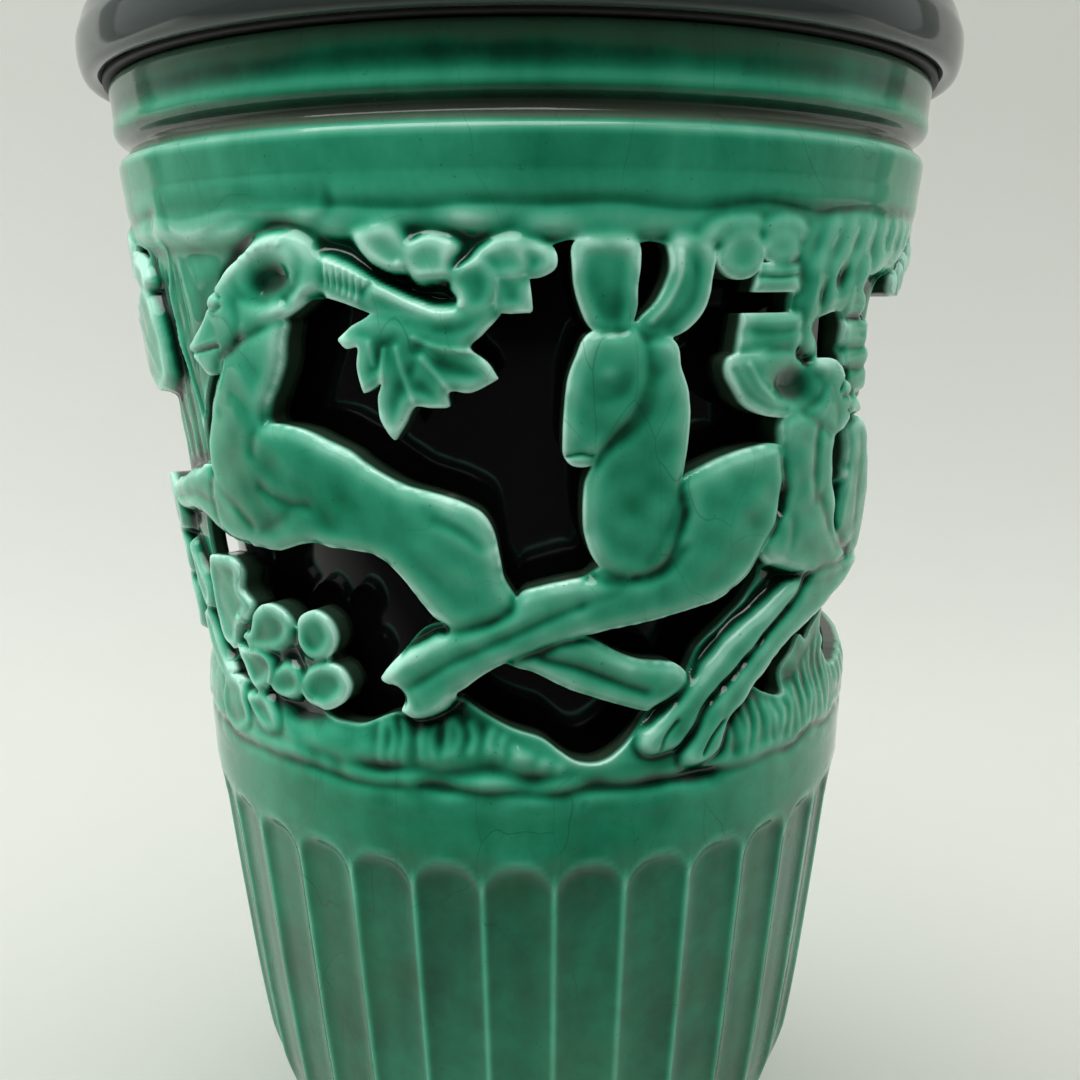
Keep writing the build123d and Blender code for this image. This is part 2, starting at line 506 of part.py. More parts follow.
with BuildPart() as filament:
    for side in (-1, 1):
        with BuildLine() as support:
            Line((side * 5.0, 0, 186.0), (side * 15.0, 0, 236.0))
        with BuildSketch(Plane(support.line @ 0, z_dir=support.line % 0)):
            Circle(0.4)
        sweep(path=support.line)
    with BuildLine() as coil:
        ThreePointArc((-15.0, 0, 235.8), (0, -9.0, 238.0), (15.0, 0, 235.8))
    with BuildSketch(Plane(coil.line @ 0, z_dir=coil.line % 0)):
        Circle(0.5)
    sweep(path=coil.line)
keep(filament.part, "bulb_filament")

# ---- cord, switch and plug ------------------------------------------------------------------------------------
SWITCH_LEVEL = SWITCH_HEIGHT / 2
NEAR_END, FAR_END = SWITCH_BACK - SWITCH_LENGTH / 2, SWITCH_BACK + SWITCH_LENGTH / 2
BEND = PIPE_LOW - CORD_EXIT

with BuildPart() as cord:
    with BuildLine() as near_run:
        Line((0, 0, LEAD_START), (0, 0, PIPE_LOW))
        ThreePointArc((0, 0, PIPE_LOW), (0, BEND * (1 - cos(pi / 4)), PIPE_LOW - BEND * sin(pi / 4)),
                      (0, BEND, CORD_EXIT))
        Line((0, BEND, CORD_EXIT), (0, FOOT_RADIUS + 4, CORD_EXIT))
        Spline((0, FOOT_RADIUS + 4, CORD_EXIT), (0, 84.0, 5.5), (0, NEAR_END - 4, SWITCH_LEVEL),
               tangents=[(0, 1, 0), (0, 1, 0)])
        Line((0, NEAR_END - 4, SWITCH_LEVEL), (0, NEAR_END + 6, SWITCH_LEVEL))
    with BuildSketch(Plane(near_run.line @ 0, z_dir=near_run.line % 0)):
        Circle(CORD_RADIUS)
    sweep(path=near_run.line)
    with BuildLine() as far_run:
        Line((0, FAR_END - 6, SWITCH_LEVEL), (0, FAR_END + 4, SWITCH_LEVEL))
        Spline((0, FAR_END + 4, SWITCH_LEVEL), (-6.0, 180.0, 4.5), (-26.0, 190.0, 2.8), (-46.0, 176.0, 3.2),
               (PLUG_X, 156.0, 6.0), (PLUG_X, PLUG_BACK + 8, SWITCH_LEVEL + 1), tangents=[(0, 1, 0), (0, -1, 0)])
        Line((PLUG_X, PLUG_BACK + 8, SWITCH_LEVEL + 1), (PLUG_X, PLUG_BACK - 14, SWITCH_LEVEL + 1))
    with BuildSketch(Plane(far_run.line @ 0, z_dir=far_run.line % 0)):
        Circle(CORD_RADIUS)
    sweep(path=far_run.line)
keep(cord.part, "lamp_cord")

with BuildPart() as leads:
    for side in (-1, 1):
        with BuildLine() as lead:
            Spline((side * 1.3, 0, LEAD_START), (side * 1.3, 0, PIPE_HIGH), (side * 5.5, 0, 134.0),
                   (side * 13.2, 0, 138.6), (side * 13.2, 0, 143.0), tangents=[(0, 0, 1), (0, 0, 1)])
        with BuildSketch(Plane(lead.line @ 0, z_dir=lead.line % 0)):
            Circle(LEAD_RADIUS)
        sweep(path=lead.line)
keep(leads.part, "cord_leads")

with BuildPart() as grommet:
    with BuildSketch(Plane.XZ.offset(-RECESS_RADIUS - 0.2)):
        with Locations((0, CORD_EXIT)):
            Circle(CORD_HOLE_RADIUS - 0.1)
            Circle(CORD_RADIUS + 0.05, mode=Mode.SUBTRACT)
    extrude(amount=-(FOOT_RADIUS + 2 - RECESS_RADIUS))
    with BuildSketch(Plane.XZ.offset(-FOOT_RADIUS - 0.05)):
        with Locations((0, CORD_EXIT)):
            Circle(CORD_HOLE_RADIUS + 2)
            Circle(CORD_RADIUS + 0.05, mode=Mode.SUBTRACT)
    extrude(amount=-1.75)
keep(grommet.part, "cord_grommet")


def case_half(low, cavity_low):
    """One half of the switch case: a hollow tray open at the parting level, slotted for the wheel and the cord."""
    half = SWITCH_HEIGHT / 2
    with BuildPart() as made:
        with BuildSketch(Plane.XY.offset(low)):
            with Locations((0, SWITCH_BACK)):
                RectangleRounded(SWITCH_WIDTH, SWITCH_LENGTH, 9)
        extrude(amount=half)
        outer_face = made.faces().sort_by(Axis.Z)[0 if cavity_low > low else -1]
        fillet(outer_face.edges(), radius=2.0)
        with BuildSketch(Plane.XY.offset(cavity_low)):
            with Locations((0, SWITCH_BACK)):
                RectangleRounded(SWITCH_WIDTH - 2 * SWITCH_WALL, SWITCH_LENGTH - 2 * SWITCH_WALL, 7)
        extrude(amount=half - SWITCH_WALL, mode=Mode.SUBTRACT)
        with BuildSketch(Plane.XZ.offset(-NEAR_END + 1)):
            with Locations((0, SWITCH_LEVEL)):
                Circle(CORD_RADIUS + 0.05)
        extrude(amount=-SWITCH_LENGTH - 2, mode=Mode.SUBTRACT)
        with BuildSketch(Plane.YZ.offset(8)):
            with Locations((SWITCH_BACK, SWITCH_LEVEL)):
                Rectangle(21, WHEEL_THICK + 0.6)
        extrude(amount=8, mode=Mode.SUBTRACT)
    return made.part


with BuildPart() as lower_case:
    add(case_half(0, SWITCH_WALL))
    with BuildSketch(Plane.XY.offset(SWITCH_WALL)):
        with Locations((WHEEL_OFFSET, SWITCH_BACK)):
            Circle(POST_RADIUS)
    extrude(amount=SWITCH_LEVEL + WHEEL_THICK / 2 + 0.3 - SWITCH_WALL)
    with BuildSketch(Plane.XY.offset(SWITCH_WALL)):
        with Locations((WHEEL_OFFSET, SWITCH_BACK)):
            Circle(POST_RADIUS + 2)
    extrude(amount=SWITCH_LEVEL - WHEEL_THICK / 2 - 0.1 - SWITCH_WALL)
    with BuildSketch(Plane.XY.offset(4)):
        with Locations((WHEEL_OFFSET, SWITCH_BACK)):
            Circle(1.25)
    extrude(amount=SWITCH_HEIGHT, mode=Mode.SUBTRACT)
    with BuildSketch(Plane.XY.offset(SWITCH_WALL)):
        with Locations((-8.4, SWITCH_BACK - 9.5), (-8.4, SWITCH_BACK + 9.5)):
            Rectangle(2.4, 14)
    extrude(amount=5.0 - SWITCH_WALL)
keep(lower_case.part, "switch_lower_case")

with BuildPart() as upper_case:
    add(case_half(SWITCH_LEVEL, SWITCH_LEVEL))
    with BuildSketch(Plane.XY.offset(SWITCH_LEVEL + WHEEL_THICK / 2 + 0.35)):
        with Locations((WHEEL_OFFSET, SWITCH_BACK)):
            Circle(POST_RADIUS + 2)
    extrude(amount=SWITCH_LEVEL - WHEEL_THICK / 2 - 0.35 - 0.5)
    with BuildSketch(Plane.XY.offset(SWITCH_LEVEL)):
        with Locations((WHEEL_OFFSET, SWITCH_BACK)):
            Circle(1.25)
    extrude(amount=SWITCH_HEIGHT, mode=Mode.SUBTRACT)
    with BuildSketch(Plane.XY.offset(SWITCH_HEIGHT - 1.8)):
        with Locations((WHEEL_OFFSET, SWITCH_BACK)):
            Circle(2.65)
    extrude(amount=2, mode=Mode.SUBTRACT)
keep(upper_case.part, "switch_upper_case")

with BuildPart() as wheel:
    with BuildSketch(Plane.XY.offset(SWITCH_LEVEL - WHEEL_THICK / 2)):
        with Locations((WHEEL_OFFSET, SWITCH_BACK)):
            Circle(WHEEL_RADIUS)
            Circle(POST_RADIUS + THREAD_PLAY, mode=Mode.SUBTRACT)
            with PolarLocations(WHEEL_RADIUS, 36):
                Circle(0.5, mode=Mode.SUBTRACT)
    extrude(amount=WHEEL_THICK)
keep(wheel.part, "switch_wheel")

with BuildPart() as switch_screw:
    with BuildSketch(Plane.XY.offset(4.5)):
        with Locations((WHEEL_OFFSET, SWITCH_BACK)):
            Circle(1.2)
    extrude(amount=SWITCH_HEIGHT - 1.8 - 4.5)
    with BuildSketch(Plane.XY.offset(SWITCH_HEIGHT - 1.8)):
        with Locations((WHEEL_OFFSET, SWITCH_BACK)):
            Circle(2.55)
    extrude(amount=1.4)
    with BuildSketch(Plane.XY.offset(SWITCH_HEIGHT - 0.4)):
        with Locations((WHEEL_OFFSET, SWITCH_BACK)):
            Rectangle(5.2, 0.7)
    extrude(amount=-0.7, mode=Mode.SUBTRACT)
keep(switch_screw.part, "switch_screw")

with BuildPart() as strips:
    with BuildSketch(Plane.XY.offset(5.0)):
        with Locations((-8.4, SWITCH_BACK - 9.5), (-8.4, SWITCH_BACK + 9.5)):
            Rectangle(0.6, 14)
    extrude(amount=6)
keep(strips.part, "switch_contacts")

PLUG_LEVEL = SWITCH_LEVEL + 1
PLUG_FRONT = PLUG_BACK - PLUG_LENGTH
with BuildPart() as plug:
    with BuildSketch(Plane.XZ.offset(-PLUG_FRONT)):
        with Locations((PLUG_X, PLUG_LEVEL)):
            RectangleRounded(25, 16, 6)
    with BuildSketch(Plane.XZ.offset(-PLUG_BACK + 8)):
        with Locations((PLUG_X, PLUG_LEVEL)):
            RectangleRounded(13, 11, 5)
    loft()
    fillet(plug.faces().sort_by(Axis.Y)[0].edges(), radius=1.0)
    with BuildSketch(Plane.XZ.offset(-PLUG_BACK + 8)):
        with Locations((PLUG_X, PLUG_LEVEL)):
            Circle(4.3)
    extrude(amount=-14)
    with BuildSketch(Plane.XZ.offset(-PLUG_BACK + 14)):
        with Locations((PLUG_X, PLUG_LEVEL)):
            Circle(CORD_RADIUS + 0.05)
    extrude(amount=-30, mode=Mode.SUBTRACT)
    with BuildSketch(Plane.XZ.offset(-PLUG_FRONT + 1)):
        with Locations((PLUG_X - BLADE_SPREAD / 2, PLUG_LEVEL), (PLUG_X + BLADE_SPREAD / 2, PLUG_LEVEL)):
            Rectangle(BLADE_THICK, BLADE_WIDTH)
    extrude(amount=-9, mode=Mode.SUBTRACT)
keep(plug.part, "plug_body")

with BuildPart() as blades:
    with BuildSketch(Plane.XZ.offset(-PLUG_FRONT + BLADE_LENGTH)):
        with Locations((PLUG_X - BLADE_SPREAD / 2, PLUG_LEVEL), (PLUG_X + BLADE_SPREAD / 2, PLUG_LEVEL)):
            Rectangle(BLADE_THICK, BLADE_WIDTH)
    extrude(amount=-BLADE_LENGTH - 8)
    chamfer(blades.faces().filter_by(Axis.Y).sort_by(Axis.Y)[:2].edges(), length=0.4)
keep(blades.part, "plug_blades")
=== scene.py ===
"""Looks for the ceramic television lamp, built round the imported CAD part. Runs inside Blender, in metres."""
import json
import math
import bpy
import numpy as np
from mathutils import Matrix


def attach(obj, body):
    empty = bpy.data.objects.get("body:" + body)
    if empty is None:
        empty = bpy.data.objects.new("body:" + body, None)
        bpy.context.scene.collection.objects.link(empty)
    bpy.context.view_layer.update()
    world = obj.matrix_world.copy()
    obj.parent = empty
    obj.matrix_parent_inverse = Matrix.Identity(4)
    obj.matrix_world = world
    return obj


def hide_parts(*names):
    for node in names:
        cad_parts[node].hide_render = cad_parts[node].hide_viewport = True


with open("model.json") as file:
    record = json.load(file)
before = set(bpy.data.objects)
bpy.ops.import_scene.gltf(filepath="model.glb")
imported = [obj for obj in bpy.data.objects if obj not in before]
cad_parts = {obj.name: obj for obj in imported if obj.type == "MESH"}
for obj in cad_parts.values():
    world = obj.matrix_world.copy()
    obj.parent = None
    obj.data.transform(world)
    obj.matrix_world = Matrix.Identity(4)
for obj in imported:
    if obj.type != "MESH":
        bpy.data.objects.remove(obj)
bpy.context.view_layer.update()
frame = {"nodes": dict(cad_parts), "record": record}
MM = 0.001

# ---- relief of the frieze -------------------------------------------------------------------------------------
# The frieze is drawn on the unrolled wall: x in degrees round from the front (positive towards +X) and height in
# millimetres above DATUM. One half is drawn and the other half repeats it after half a turn.
DATUM = 252.0
MEAN_RADIUS = 90.0
PER_DEGREE = np.pi / 180.0 * MEAN_RADIUS
FIRST = -65.0  # where the drawn half begins, degrees
HALF_COLUMNS = 640
STEP = 180.0 * PER_DEGREE / HALF_COLUMNS  # millimetres between grid columns, and between grid rows
LOW, HIGH = -106.0, 20.0  # the drawn heights
ROWS = int(round((HIGH - LOW) / STEP)) + 1
GRID_X = (np.arange(HALF_COLUMNS) * STEP)[None, :] + FIRST * PER_DEGREE
GRID_H = (LOW + np.arange(ROWS) * (HIGH - LOW) / (ROWS - 1))[:, None]
WIDTH = 180.0 * PER_DEGREE
TURN, SPREAD, LEAN = 0.86, 1.0045, -0.01  # how the drawn frieze goes round the wall
REACH = 3.0  # how far outside an outline its distance is worked out, millimetres
FAR = 50.0  # stands for the distance to an opening where there is none near
SLACK = 1e-3  # two points nearer than this count as one, a sharp corner


def round_wall(x, h):
    """Millimetres along the wall of a drawn point; the frieze leans round a little with the height."""
    return (SPREAD * x + TURN + LEAN * h) * PER_DEGREE


def curve(points, closed=True, pieces=5):
    """A smooth line through (degrees, height) points, in millimetres; a point given twice stays sharp."""
    pts = np.array([(round_wall(x, h), h) for x, h in points], float)
    if closed:
        pts = np.vstack([pts[-1:], pts, pts[:2]])
    else:
        pts = np.vstack([2 * pts[:1] - pts[1:2], pts, 2 * pts[-1:] - pts[-2:-1]])
    gap = np.maximum(np.sqrt(np.hypot(*np.diff(pts, axis=0).T)), 1e-4)
    u = (np.arange(pieces) / pieces)[:, None]
    out = []
    for i in range(1, len(pts) - 2):
        p0, p1, p2, p3 = pts[i - 1:i + 3]
        a, b, c = gap[i - 1:i + 2]
        if b < SLACK:
            continue
        m1 = (p2 - p1) - b * ((p2 - p0) / (a + b) - (p1 - p0) / a) if a > SLACK else (p2 - p1)
        m2 = (p2 - p1) - b * ((p3 - p1) / (b + c) - (p3 - p2) / c) if c > SLACK else (p2 - p1)
        out.append((2 * u ** 3 - 3 * u ** 2 + 1) * p1 + (u ** 3 - 2 * u ** 2 + u) * m1
                   + (3 * u ** 2 - 2 * u ** 3) * p2 + (u ** 3 - u ** 2) * m2)
    if not closed:
        out.append(pts[-2:-1])
    return np.vstack(out)


def window_of(pts, margin):
    """The grid rows and columns round some points; columns may run past the half's ends and wrap."""
    c0 = int(np.floor((pts[:, 0].min() - margin - FIRST * PER_DEGREE) / STEP))
    c1 = int(np.ceil((pts[:, 0].max() + margin - FIRST * PER_DEGREE) / STEP)) + 1
    r0 = max(0, int(np.floor((pts[:, 1].min() - margin - LOW) / (HIGH - LOW) * (ROWS - 1))))
    r1 = min(ROWS, int(np.ceil((pts[:, 1].max() + margin - LOW) / (HIGH - LOW) * (ROWS - 1))) + 1)
    cols = np.arange(c0, c1)
    x = FIRST * PER_DEGREE + cols * STEP
    h = GRID_H[r0:r1, 0]
    return slice(r0, r1), cols % HALF_COLUMNS, x[None, :], h[:, None]


def segments(x, h, a, b):
    """Distance from the grid to a segment, and how far along it the nearest point is."""
    ax, ay = a
    dx, dy = b[0] - ax, b[1] - ay
    t = np.clip(((x - ax) * dx + (h - ay) * dy) / max(dx * dx + dy * dy, 1e-9), 0, 1)
    return np.hypot(x - ax - t * dx, h - ay - t * dy), t


def inside(points):
    """Signed distance to a closed outline (positive inside), with its place on the grid."""
    pts = curve(points)
    rows, cols, x, h = window_of(pts, REACH)
    shape = np.broadcast(x, h).shape
    dist = np.full(shape, 1e6)
    odd = np.zeros(shape, bool)
    for a, b in zip(pts, np.roll(pts, -1, axis=0)):
        dist = np.minimum(dist, segments(x, h, a, b)[0])
        if a[1] != b[1]:
            crosses = (a[1] > h) != (b[1] > h)
            odd ^= crosses & (x < a[0] + (h - a[1]) * (b[0] - a[0]) / (b[1] - a[1]))
    return rows, cols, np.where(odd, dist, -dist)


def limb(points):
    """Signed distance to a tapering limb; each point is (degrees, height, radius)."""
    line = curve([(x, h) for x, h, r in points], closed=False, pieces=4)
    radii = np.interp(np.linspace(0, len(points) - 1, len(line)), range(len(points)), [r for x, h, r in points])
    rows, cols, x, h = window_of(line, REACH + radii.max())
    best = np.full(np.broadcast(x, h).shape, -1e6)
    share = np.zeros_like(best)
    for a, b, ra, rb in zip(line, line[1:], radii, radii[1:]):
        dist, t = segments(x, h, a, b)
        radius = ra + (rb - ra) * t
        better = radius - dist > best
        best = np.where(better, radius - dist, best)
        share = np.where(better, (radius - dist) / radius, share)
    return rows, cols, best, share


def smooth_step(x, low, high):
    t = np.clip((x - low) / (high - low), 0, 1)
    return t * t * (3 - 2 * t)


def soften(field, size):
    """Blurs a half's field by a Gaussian of that many millimetres; the columns wrap round."""
    spread = size / STEP
    n = int(3 * spread) + 1
    kernel = np.exp(-0.5 * (np.arange(-n, n + 1) / spread) ** 2)
    kernel /= kernel.sum()
    tall = np.pad(field, ((n, n), (0, 0)), mode="edge")
    field = sum(kernel[i] * tall[i:i + field.shape[0]] for i in range(2 * n + 1))
    wide = np.concatenate([field[:, -n:], field, field[:, :n]], axis=1)
    return sum(kernel[i] * wide[:, i:i + field.shape[1]] for i in range(2 * n + 1))


def carry_out(field, known, times):
    """Carries the values of the known cells outwards over the unknown ones, a cell at a time."""
    known = known.copy()
    field = np.where(known, field, 0.0)
    for _ in range(times):
        total = np.zeros_like(field)
        count = np.zeros_like(field)
        for shift, axis in ((1, 0), (-1, 0), (1, 1), (-1, 1)):
            total += np.roll(field * known, shift, axis)
            count += np.roll(known, shift, axis)
        grown = ~known & (count > 0)
        field = np.where(grown, total / np.maximum(count, 1), field)
        known |= grown
    return field, known


def waves(x, h, size, seed, count=14):
    """Smooth seeded noise that repeats with the half, roughly -1 to 1; size is its grain in millimetres."""
    picks = np.random.default_rng(seed)
    total = np.zeros(np.broadcast(x, h).shape)
    for _ in range(count):
        turns = round(WIDTH / size * picks.uniform(0.4, 1.3))
        lift = picks.uniform(0.4, 1.3) / size * picks.choice([-1, 1])
        total = total + np.sin(2 * np.pi * (x / WIDTH * turns + h * lift) + picks.uniform(0, 2 * np.pi))
    return total / math.sqrt(count)


# The border above and the plain band below, with the wavy lip and the sill where the frieze meets them.
lip = 9.4 + 0.7 * waves(GRID_X, 0 * GRID_X, 34, 3, 6)
above = smooth_step(GRID_H - lip, -1.3, 0.9)
crease = 14.6 + 0.5 * waves(GRID_X, 0 * GRID_X, 30, 8, 6)
border = -0.15 - 0.5 * np.exp(-((GRID_H - crease) / 1.0) ** 2) - 0.3 * smooth_step(crease - GRID_H, -1.0, 1.5)
border = border * smooth_step(-GRID_H, -19.5, -16.0)
sill = -99.6 + 0.7 * waves(GRID_X, 0 * GRID_X, 22, 5, 8)
below = smooth_step(sill - GRID_H, -0.6, 0.5)
ground = -2.3 + 2.2 * smooth_step(-GRID_H, 83.0, 95.0) + 0.5 * np.exp(-((GRID_H - sill - 1.4) / 1.3) ** 2)
plain_band = -0.55 * np.exp(-((GRID_H - sill + 0.9) / 1.0) ** 2)
depth = ground * (1 - above) + border * above  # millimetres out from the wall's ground surface
depth = depth * (1 - below) + plain_band * below
detail = np.zeros((ROWS, HALF_COLUMNS))  # fine lines, kept crisp when the rest is softened
solid = np.full((ROWS, HALF_COLUMNS), FAR)  # signed distance to the nearest opening's edge
FINE = 0.5  # lines no wider than this go to the fine layer, millimetres
EDGE = 1.8  # how far in a slab's rounded edge reaches, millimetres
GROOVE = 0.55  # depth of the groove round a shape laid with groove=1, millimetres


def dome(t):
    """A quarter round: rises from 0 to 1 as t does."""
    t = np.clip(t, 0, 1)
    return np.sqrt(np.maximum(1 - (1 - t) ** 2, 0))


def lay(rows, cols, sd, height, groove=1.0, reach=0.9, fill=True):
    """Lays a shape over what is there: height inside its edge, a soft groove just outside it."""
    around = depth[rows][:, cols] - GROOVE * groove * np.exp(-(np.minimum(sd, 0) / reach) ** 2) * (sd <= 0)
    depth[rows][:, cols] = np.where(sd > 0, height, around)
    detail[rows][:, cols] *= sd <= 0
    if fill:
        solid[rows][:, cols] = np.maximum(solid[rows][:, cols], sd)


def slab(sd, base, rise, width, cup):
    """Height across a slab with a rounded edge, a slight swell and a hollowed middle."""
    body = 0.62 * dome(sd / EDGE) + 0.38 * dome(sd / width)
    return base + rise * body - cup * (1 - np.exp(-(np.maximum(sd - 0.7, 0) / (0.40 * width)) ** 2))


def shape(points, base, rise, width, groove=1.0, reach=0.9, fill=True, cup=0.35):
    """Lays a slab with the given outline."""
    rows, cols, sd = inside(points)
    lay(rows, cols, sd, slab(sd, base, rise, width, cup), groove, reach, fill)


def rod(points, base, rise, groove):
    """Lays a round, tapering limb."""
    rows, cols, sd, share = limb(points)
    lay(rows, cols, sd, base + rise * dome(share), groove)


def opening(points):
    """Cuts an opening through the wall."""
    rows, cols, sd = inside(points)
    solid[rows][:, cols] = np.minimum(solid[rows][:, cols], -sd)


def press(points, width, amount):
    """A soft crease along a line (amount below zero) or a soft ridge (above zero)."""
    pts = curve(points, closed=False, pieces=4)
    rows, cols, x, h = window_of(pts, 3 * width)
    dist = np.full(np.broadcast(x, h).shape, 1e6)
    for a, b in zip(pts, pts[1:]):
        dist = np.minimum(dist, segments(x, h, a, b)[0])
    field = detail if width <= FINE else depth
    field[rows][:, cols] += amount * np.exp(-(dist / width) ** 2)


def swell(x0, h0, wide, tall, amount, tilt=0.0, power=2.0):
    """A soft bump or hollow centred at a place; wide and tall are in millimetres."""
    centre = np.array([[round_wall(x0, h0), h0]])
    rows, cols, x, h = window_of(centre, 2.6 * max(wide, tall))
    c, s = np.cos(np.radians(tilt)), np.sin(np.radians(tilt))
    u = ((x - centre[0, 0]) * c + (h - h0) * s) / wide
    v = (-(x - centre[0, 0]) * s + (h - h0) * c) / tall
    depth[rows][:, cols] += amount * np.exp(-(u * u + v * v) ** (power / 2))


def leaf(x0, h0, angle, length, wide):
    """A pointed leaf from its stalk end, angle in degrees anticlockwise from +x."""
    c, s = np.cos(np.radians(angle)), np.sin(np.radians(angle))
    widths = ((0.0, 0.0), (0.2, 0.62), (0.45, 1.0), (0.7, 0.78), (0.9, 0.28))
    side = [(t * length, w * wide / 2) for t, w in widths]
    local = side + [(length, 0.0), (length, 0.0)] + [(u, -v) for u, v in side[:0:-1]]
    points = [(x0 + (u * c - v * s) / PER_DEGREE, h0 + u * s + v * c) for u, v in local]
    shape(points, -1.2, 1.9, wide * 0.5, groove=0.8, reach=0.7, cup=0.9)


# Openings first: each reaches a little under the figures, which are laid over and close it again.
OPENINGS = [
    # over the buck's back, between the horn, the hanging leaf, the doe and her long foreleg
    [(-34, -25), (-31, -14), (-29.5, -4), (-22, -1.5), (-14, -3), (-6, -2), (-4.2, 0.5), (-1, 3), (2.9, 7.3),
     (5.7, 8.2), (7.5, 6), (7.5, -2), (8.5, -8), (7, -14), (6, -24), (8, -33), (8.5, -45), (11, -55), (4, -57),
     (-3, -60), (-7, -50), (-12, -42), (-20, -36), (-28, -30)],
    # between the doe's ears
    [(10.5, 5), (11.9, 7.2), (14.7, 8), (17.5, 5), (17.3, -2), (14, -6), (11, -5)],
    # behind the doe's neck, up to the hanging petals and the horn
    [(17, -37), (17, -20), (15.5, -9), (18, -4), (19.3, 4), (21, 6), (24, 6), (27, 7), (29, 4), (28.5, -0.5),
     (33, -0.5), (33, -5), (30, -8), (27, -14), (28, -20), (31, -23), (34, -25), (34.5, -31), (27, -33.5)],
    # beside the horn
    [(34.5, -7.5), (37.2, -5), (39.9, -4.2), (43.5, -5.5), (44, -12), (44.5, -17), (40, -17), (37.5, -12)],
    # in front of the throat
    [(43, -27), (43, -34), (44.5, -42), (49, -41), (51, -34), (50, -28)],
    # beside the stag, from its far foreleg round to the wall behind the next buck
    [(50, -24.5), (54, -23), (52.5, -8), (54, 0), (60, 5), (70, 9.5), (84, 9.5), (96, 9), (106, 8.5), (118, 8.5),
     (119.5, 0), (118.6, -20), (118.4, -40), (112, -46), (108.5, -52), (108, -62), (107, -78), (104, -88),
     (90, -88.5), (72, -88.5), (59, -88), (55, -80), (54, -68), (57, -60), (58, -48), (56.5, -38), (53, -30)],
    # under the buck's chin
    [(-44.6, -15), (-40, -14), (-41, -20), (-44, -30), (-45, -37), (-50, -38), (-50.2, -28), (-48.3, -21)],
    # under the buck's belly
    [(-57.5, -53), (-55, -47), (-47, -47), (-37, -49), (-30.8, -46.5), (-20, -47), (-9, -62), (-15, -66),
     (-19, -74), (-19.5, -79), (-17, -84), (-20.9, -85.4), (-26, -88.6), (-32, -87), (-32, -74), (-44, -73),
     (-51, -64), (-57, -63)],
    # between the petals
    [(-55, -85), (-51, -77.5), (-48, -79), (-46.8, -85.5)],
    # under the doe's belly
    [(4.6, -68), (12.4, -61), (22.8, -59), (28.5, -55), (32.5, -50), (34, -58), (32, -63), (24.5, -72), (22, -78),
     (14, -77), (7, -74)],
    # under the hind leg
    [(-6, -71), (6, -75), (17.5, -82), (15.5, -87), (12.5, -91.8), (9, -94.6), (6, -94.2), (3.4, -91.7), (1, -89),
     (-3, -87), (-6.5, -84.5), (-10.4, -80.5), (-12.5, -79), (-11, -76)],
    # between the rear leg and the rock
    [(31, -84), (33.1, -83), (35.2, -84.2), (37.4, -86.2), (42, -88.3), (42.1, -83), (45, -79), (46.5, -76),
     (48.7, -78), (50, -76), (53, -72), (56, -63), (50, -65), (42, -69.5), (36, -75)],
]
for points in OPENINGS:
    opening(points)

# The wall behind the buck's head, with faint streaks and a fold, and the border.
for k in range(7):
    x0 = -62.6 + 2.0 * k + 0.5 * np.sin(2.3 * k)
    press([(x0 - 1.2, 6 - 2 * (k % 3)), (x0, -8), (x0 + 0.35 * (7 - k), -22), (x0 + 0.5 * (7 - k), -35)], 0.6,
          0.38 if k % 2 else -0.34)
press([(-52.6, 9.5), (-53.4, 3), (-54, -4), (-52.6, -12), (-50.6, -24), (-50, -34)], 0.45, 0.6)
swell(-51.0, 13.6, 5.0, 2.4, 0.7, tilt=30)
swell(-55.5, 12.4, 3.6, 2.4, -0.6, tilt=30)
shape([(-49, 12), (-44, 9), (-38, 11.5), (-34, 13), (-30, 12.5), (-24, 11.5), (-22, 13), (-22, 20), (-49, 20)],
      -1.2, 1.0, 3.0)

# Buck: far side first.
shape([(6.8, -66.7), (9.3, -68.7), (11.8, -71), (15.2, -73), (18.1, -73.7), (20, -74.5), (21.5, -76.5),
       (22.5, -78.2), (21.5, -80.5), (19.5, -82.5), (17.4, -83.7), (16.1, -84.2), (12.4, -82.5), (9.9, -81),
       (4.9, -78), (0, -74), (-3.5, -72), (-4, -68), (0, -65)], -2.0, 2.6, 3.4)
press([(1, -71), (6, -73.2), (11, -76.6), (15.5, -79.6)], 0.7, -0.9)
press([(3.5, -68.8), (8, -71.2), (13, -74.4)], 0.8, 0.5)
swell(18.6, -77.2, 3.2, 2.4, 0.8)

# Buck's folded foreleg, reaching to the left.
shape([(-45.8, -36.7), (-48.3, -35.8), (-50, -36.3), (-52.6, -37.2), (-55, -38), (-57.6, -39.7), (-60, -40.7),
       (-62.5, -41.8), (-64.6, -44), (-65, -47), (-63.5, -49.2), (-60, -48.8), (-55, -47.3), (-52.6, -47.4),
       (-50, -48.5), (-46, -51), (-40, -51.5), (-36, -48), (-38, -40), (-42, -36)], -1.6, 3.2, 4.6)
press([(-62.5, -45.6), (-58, -44.8), (-54, -43.2), (-50, -43), (-46.5, -44.5)], 0.7, -0.9)

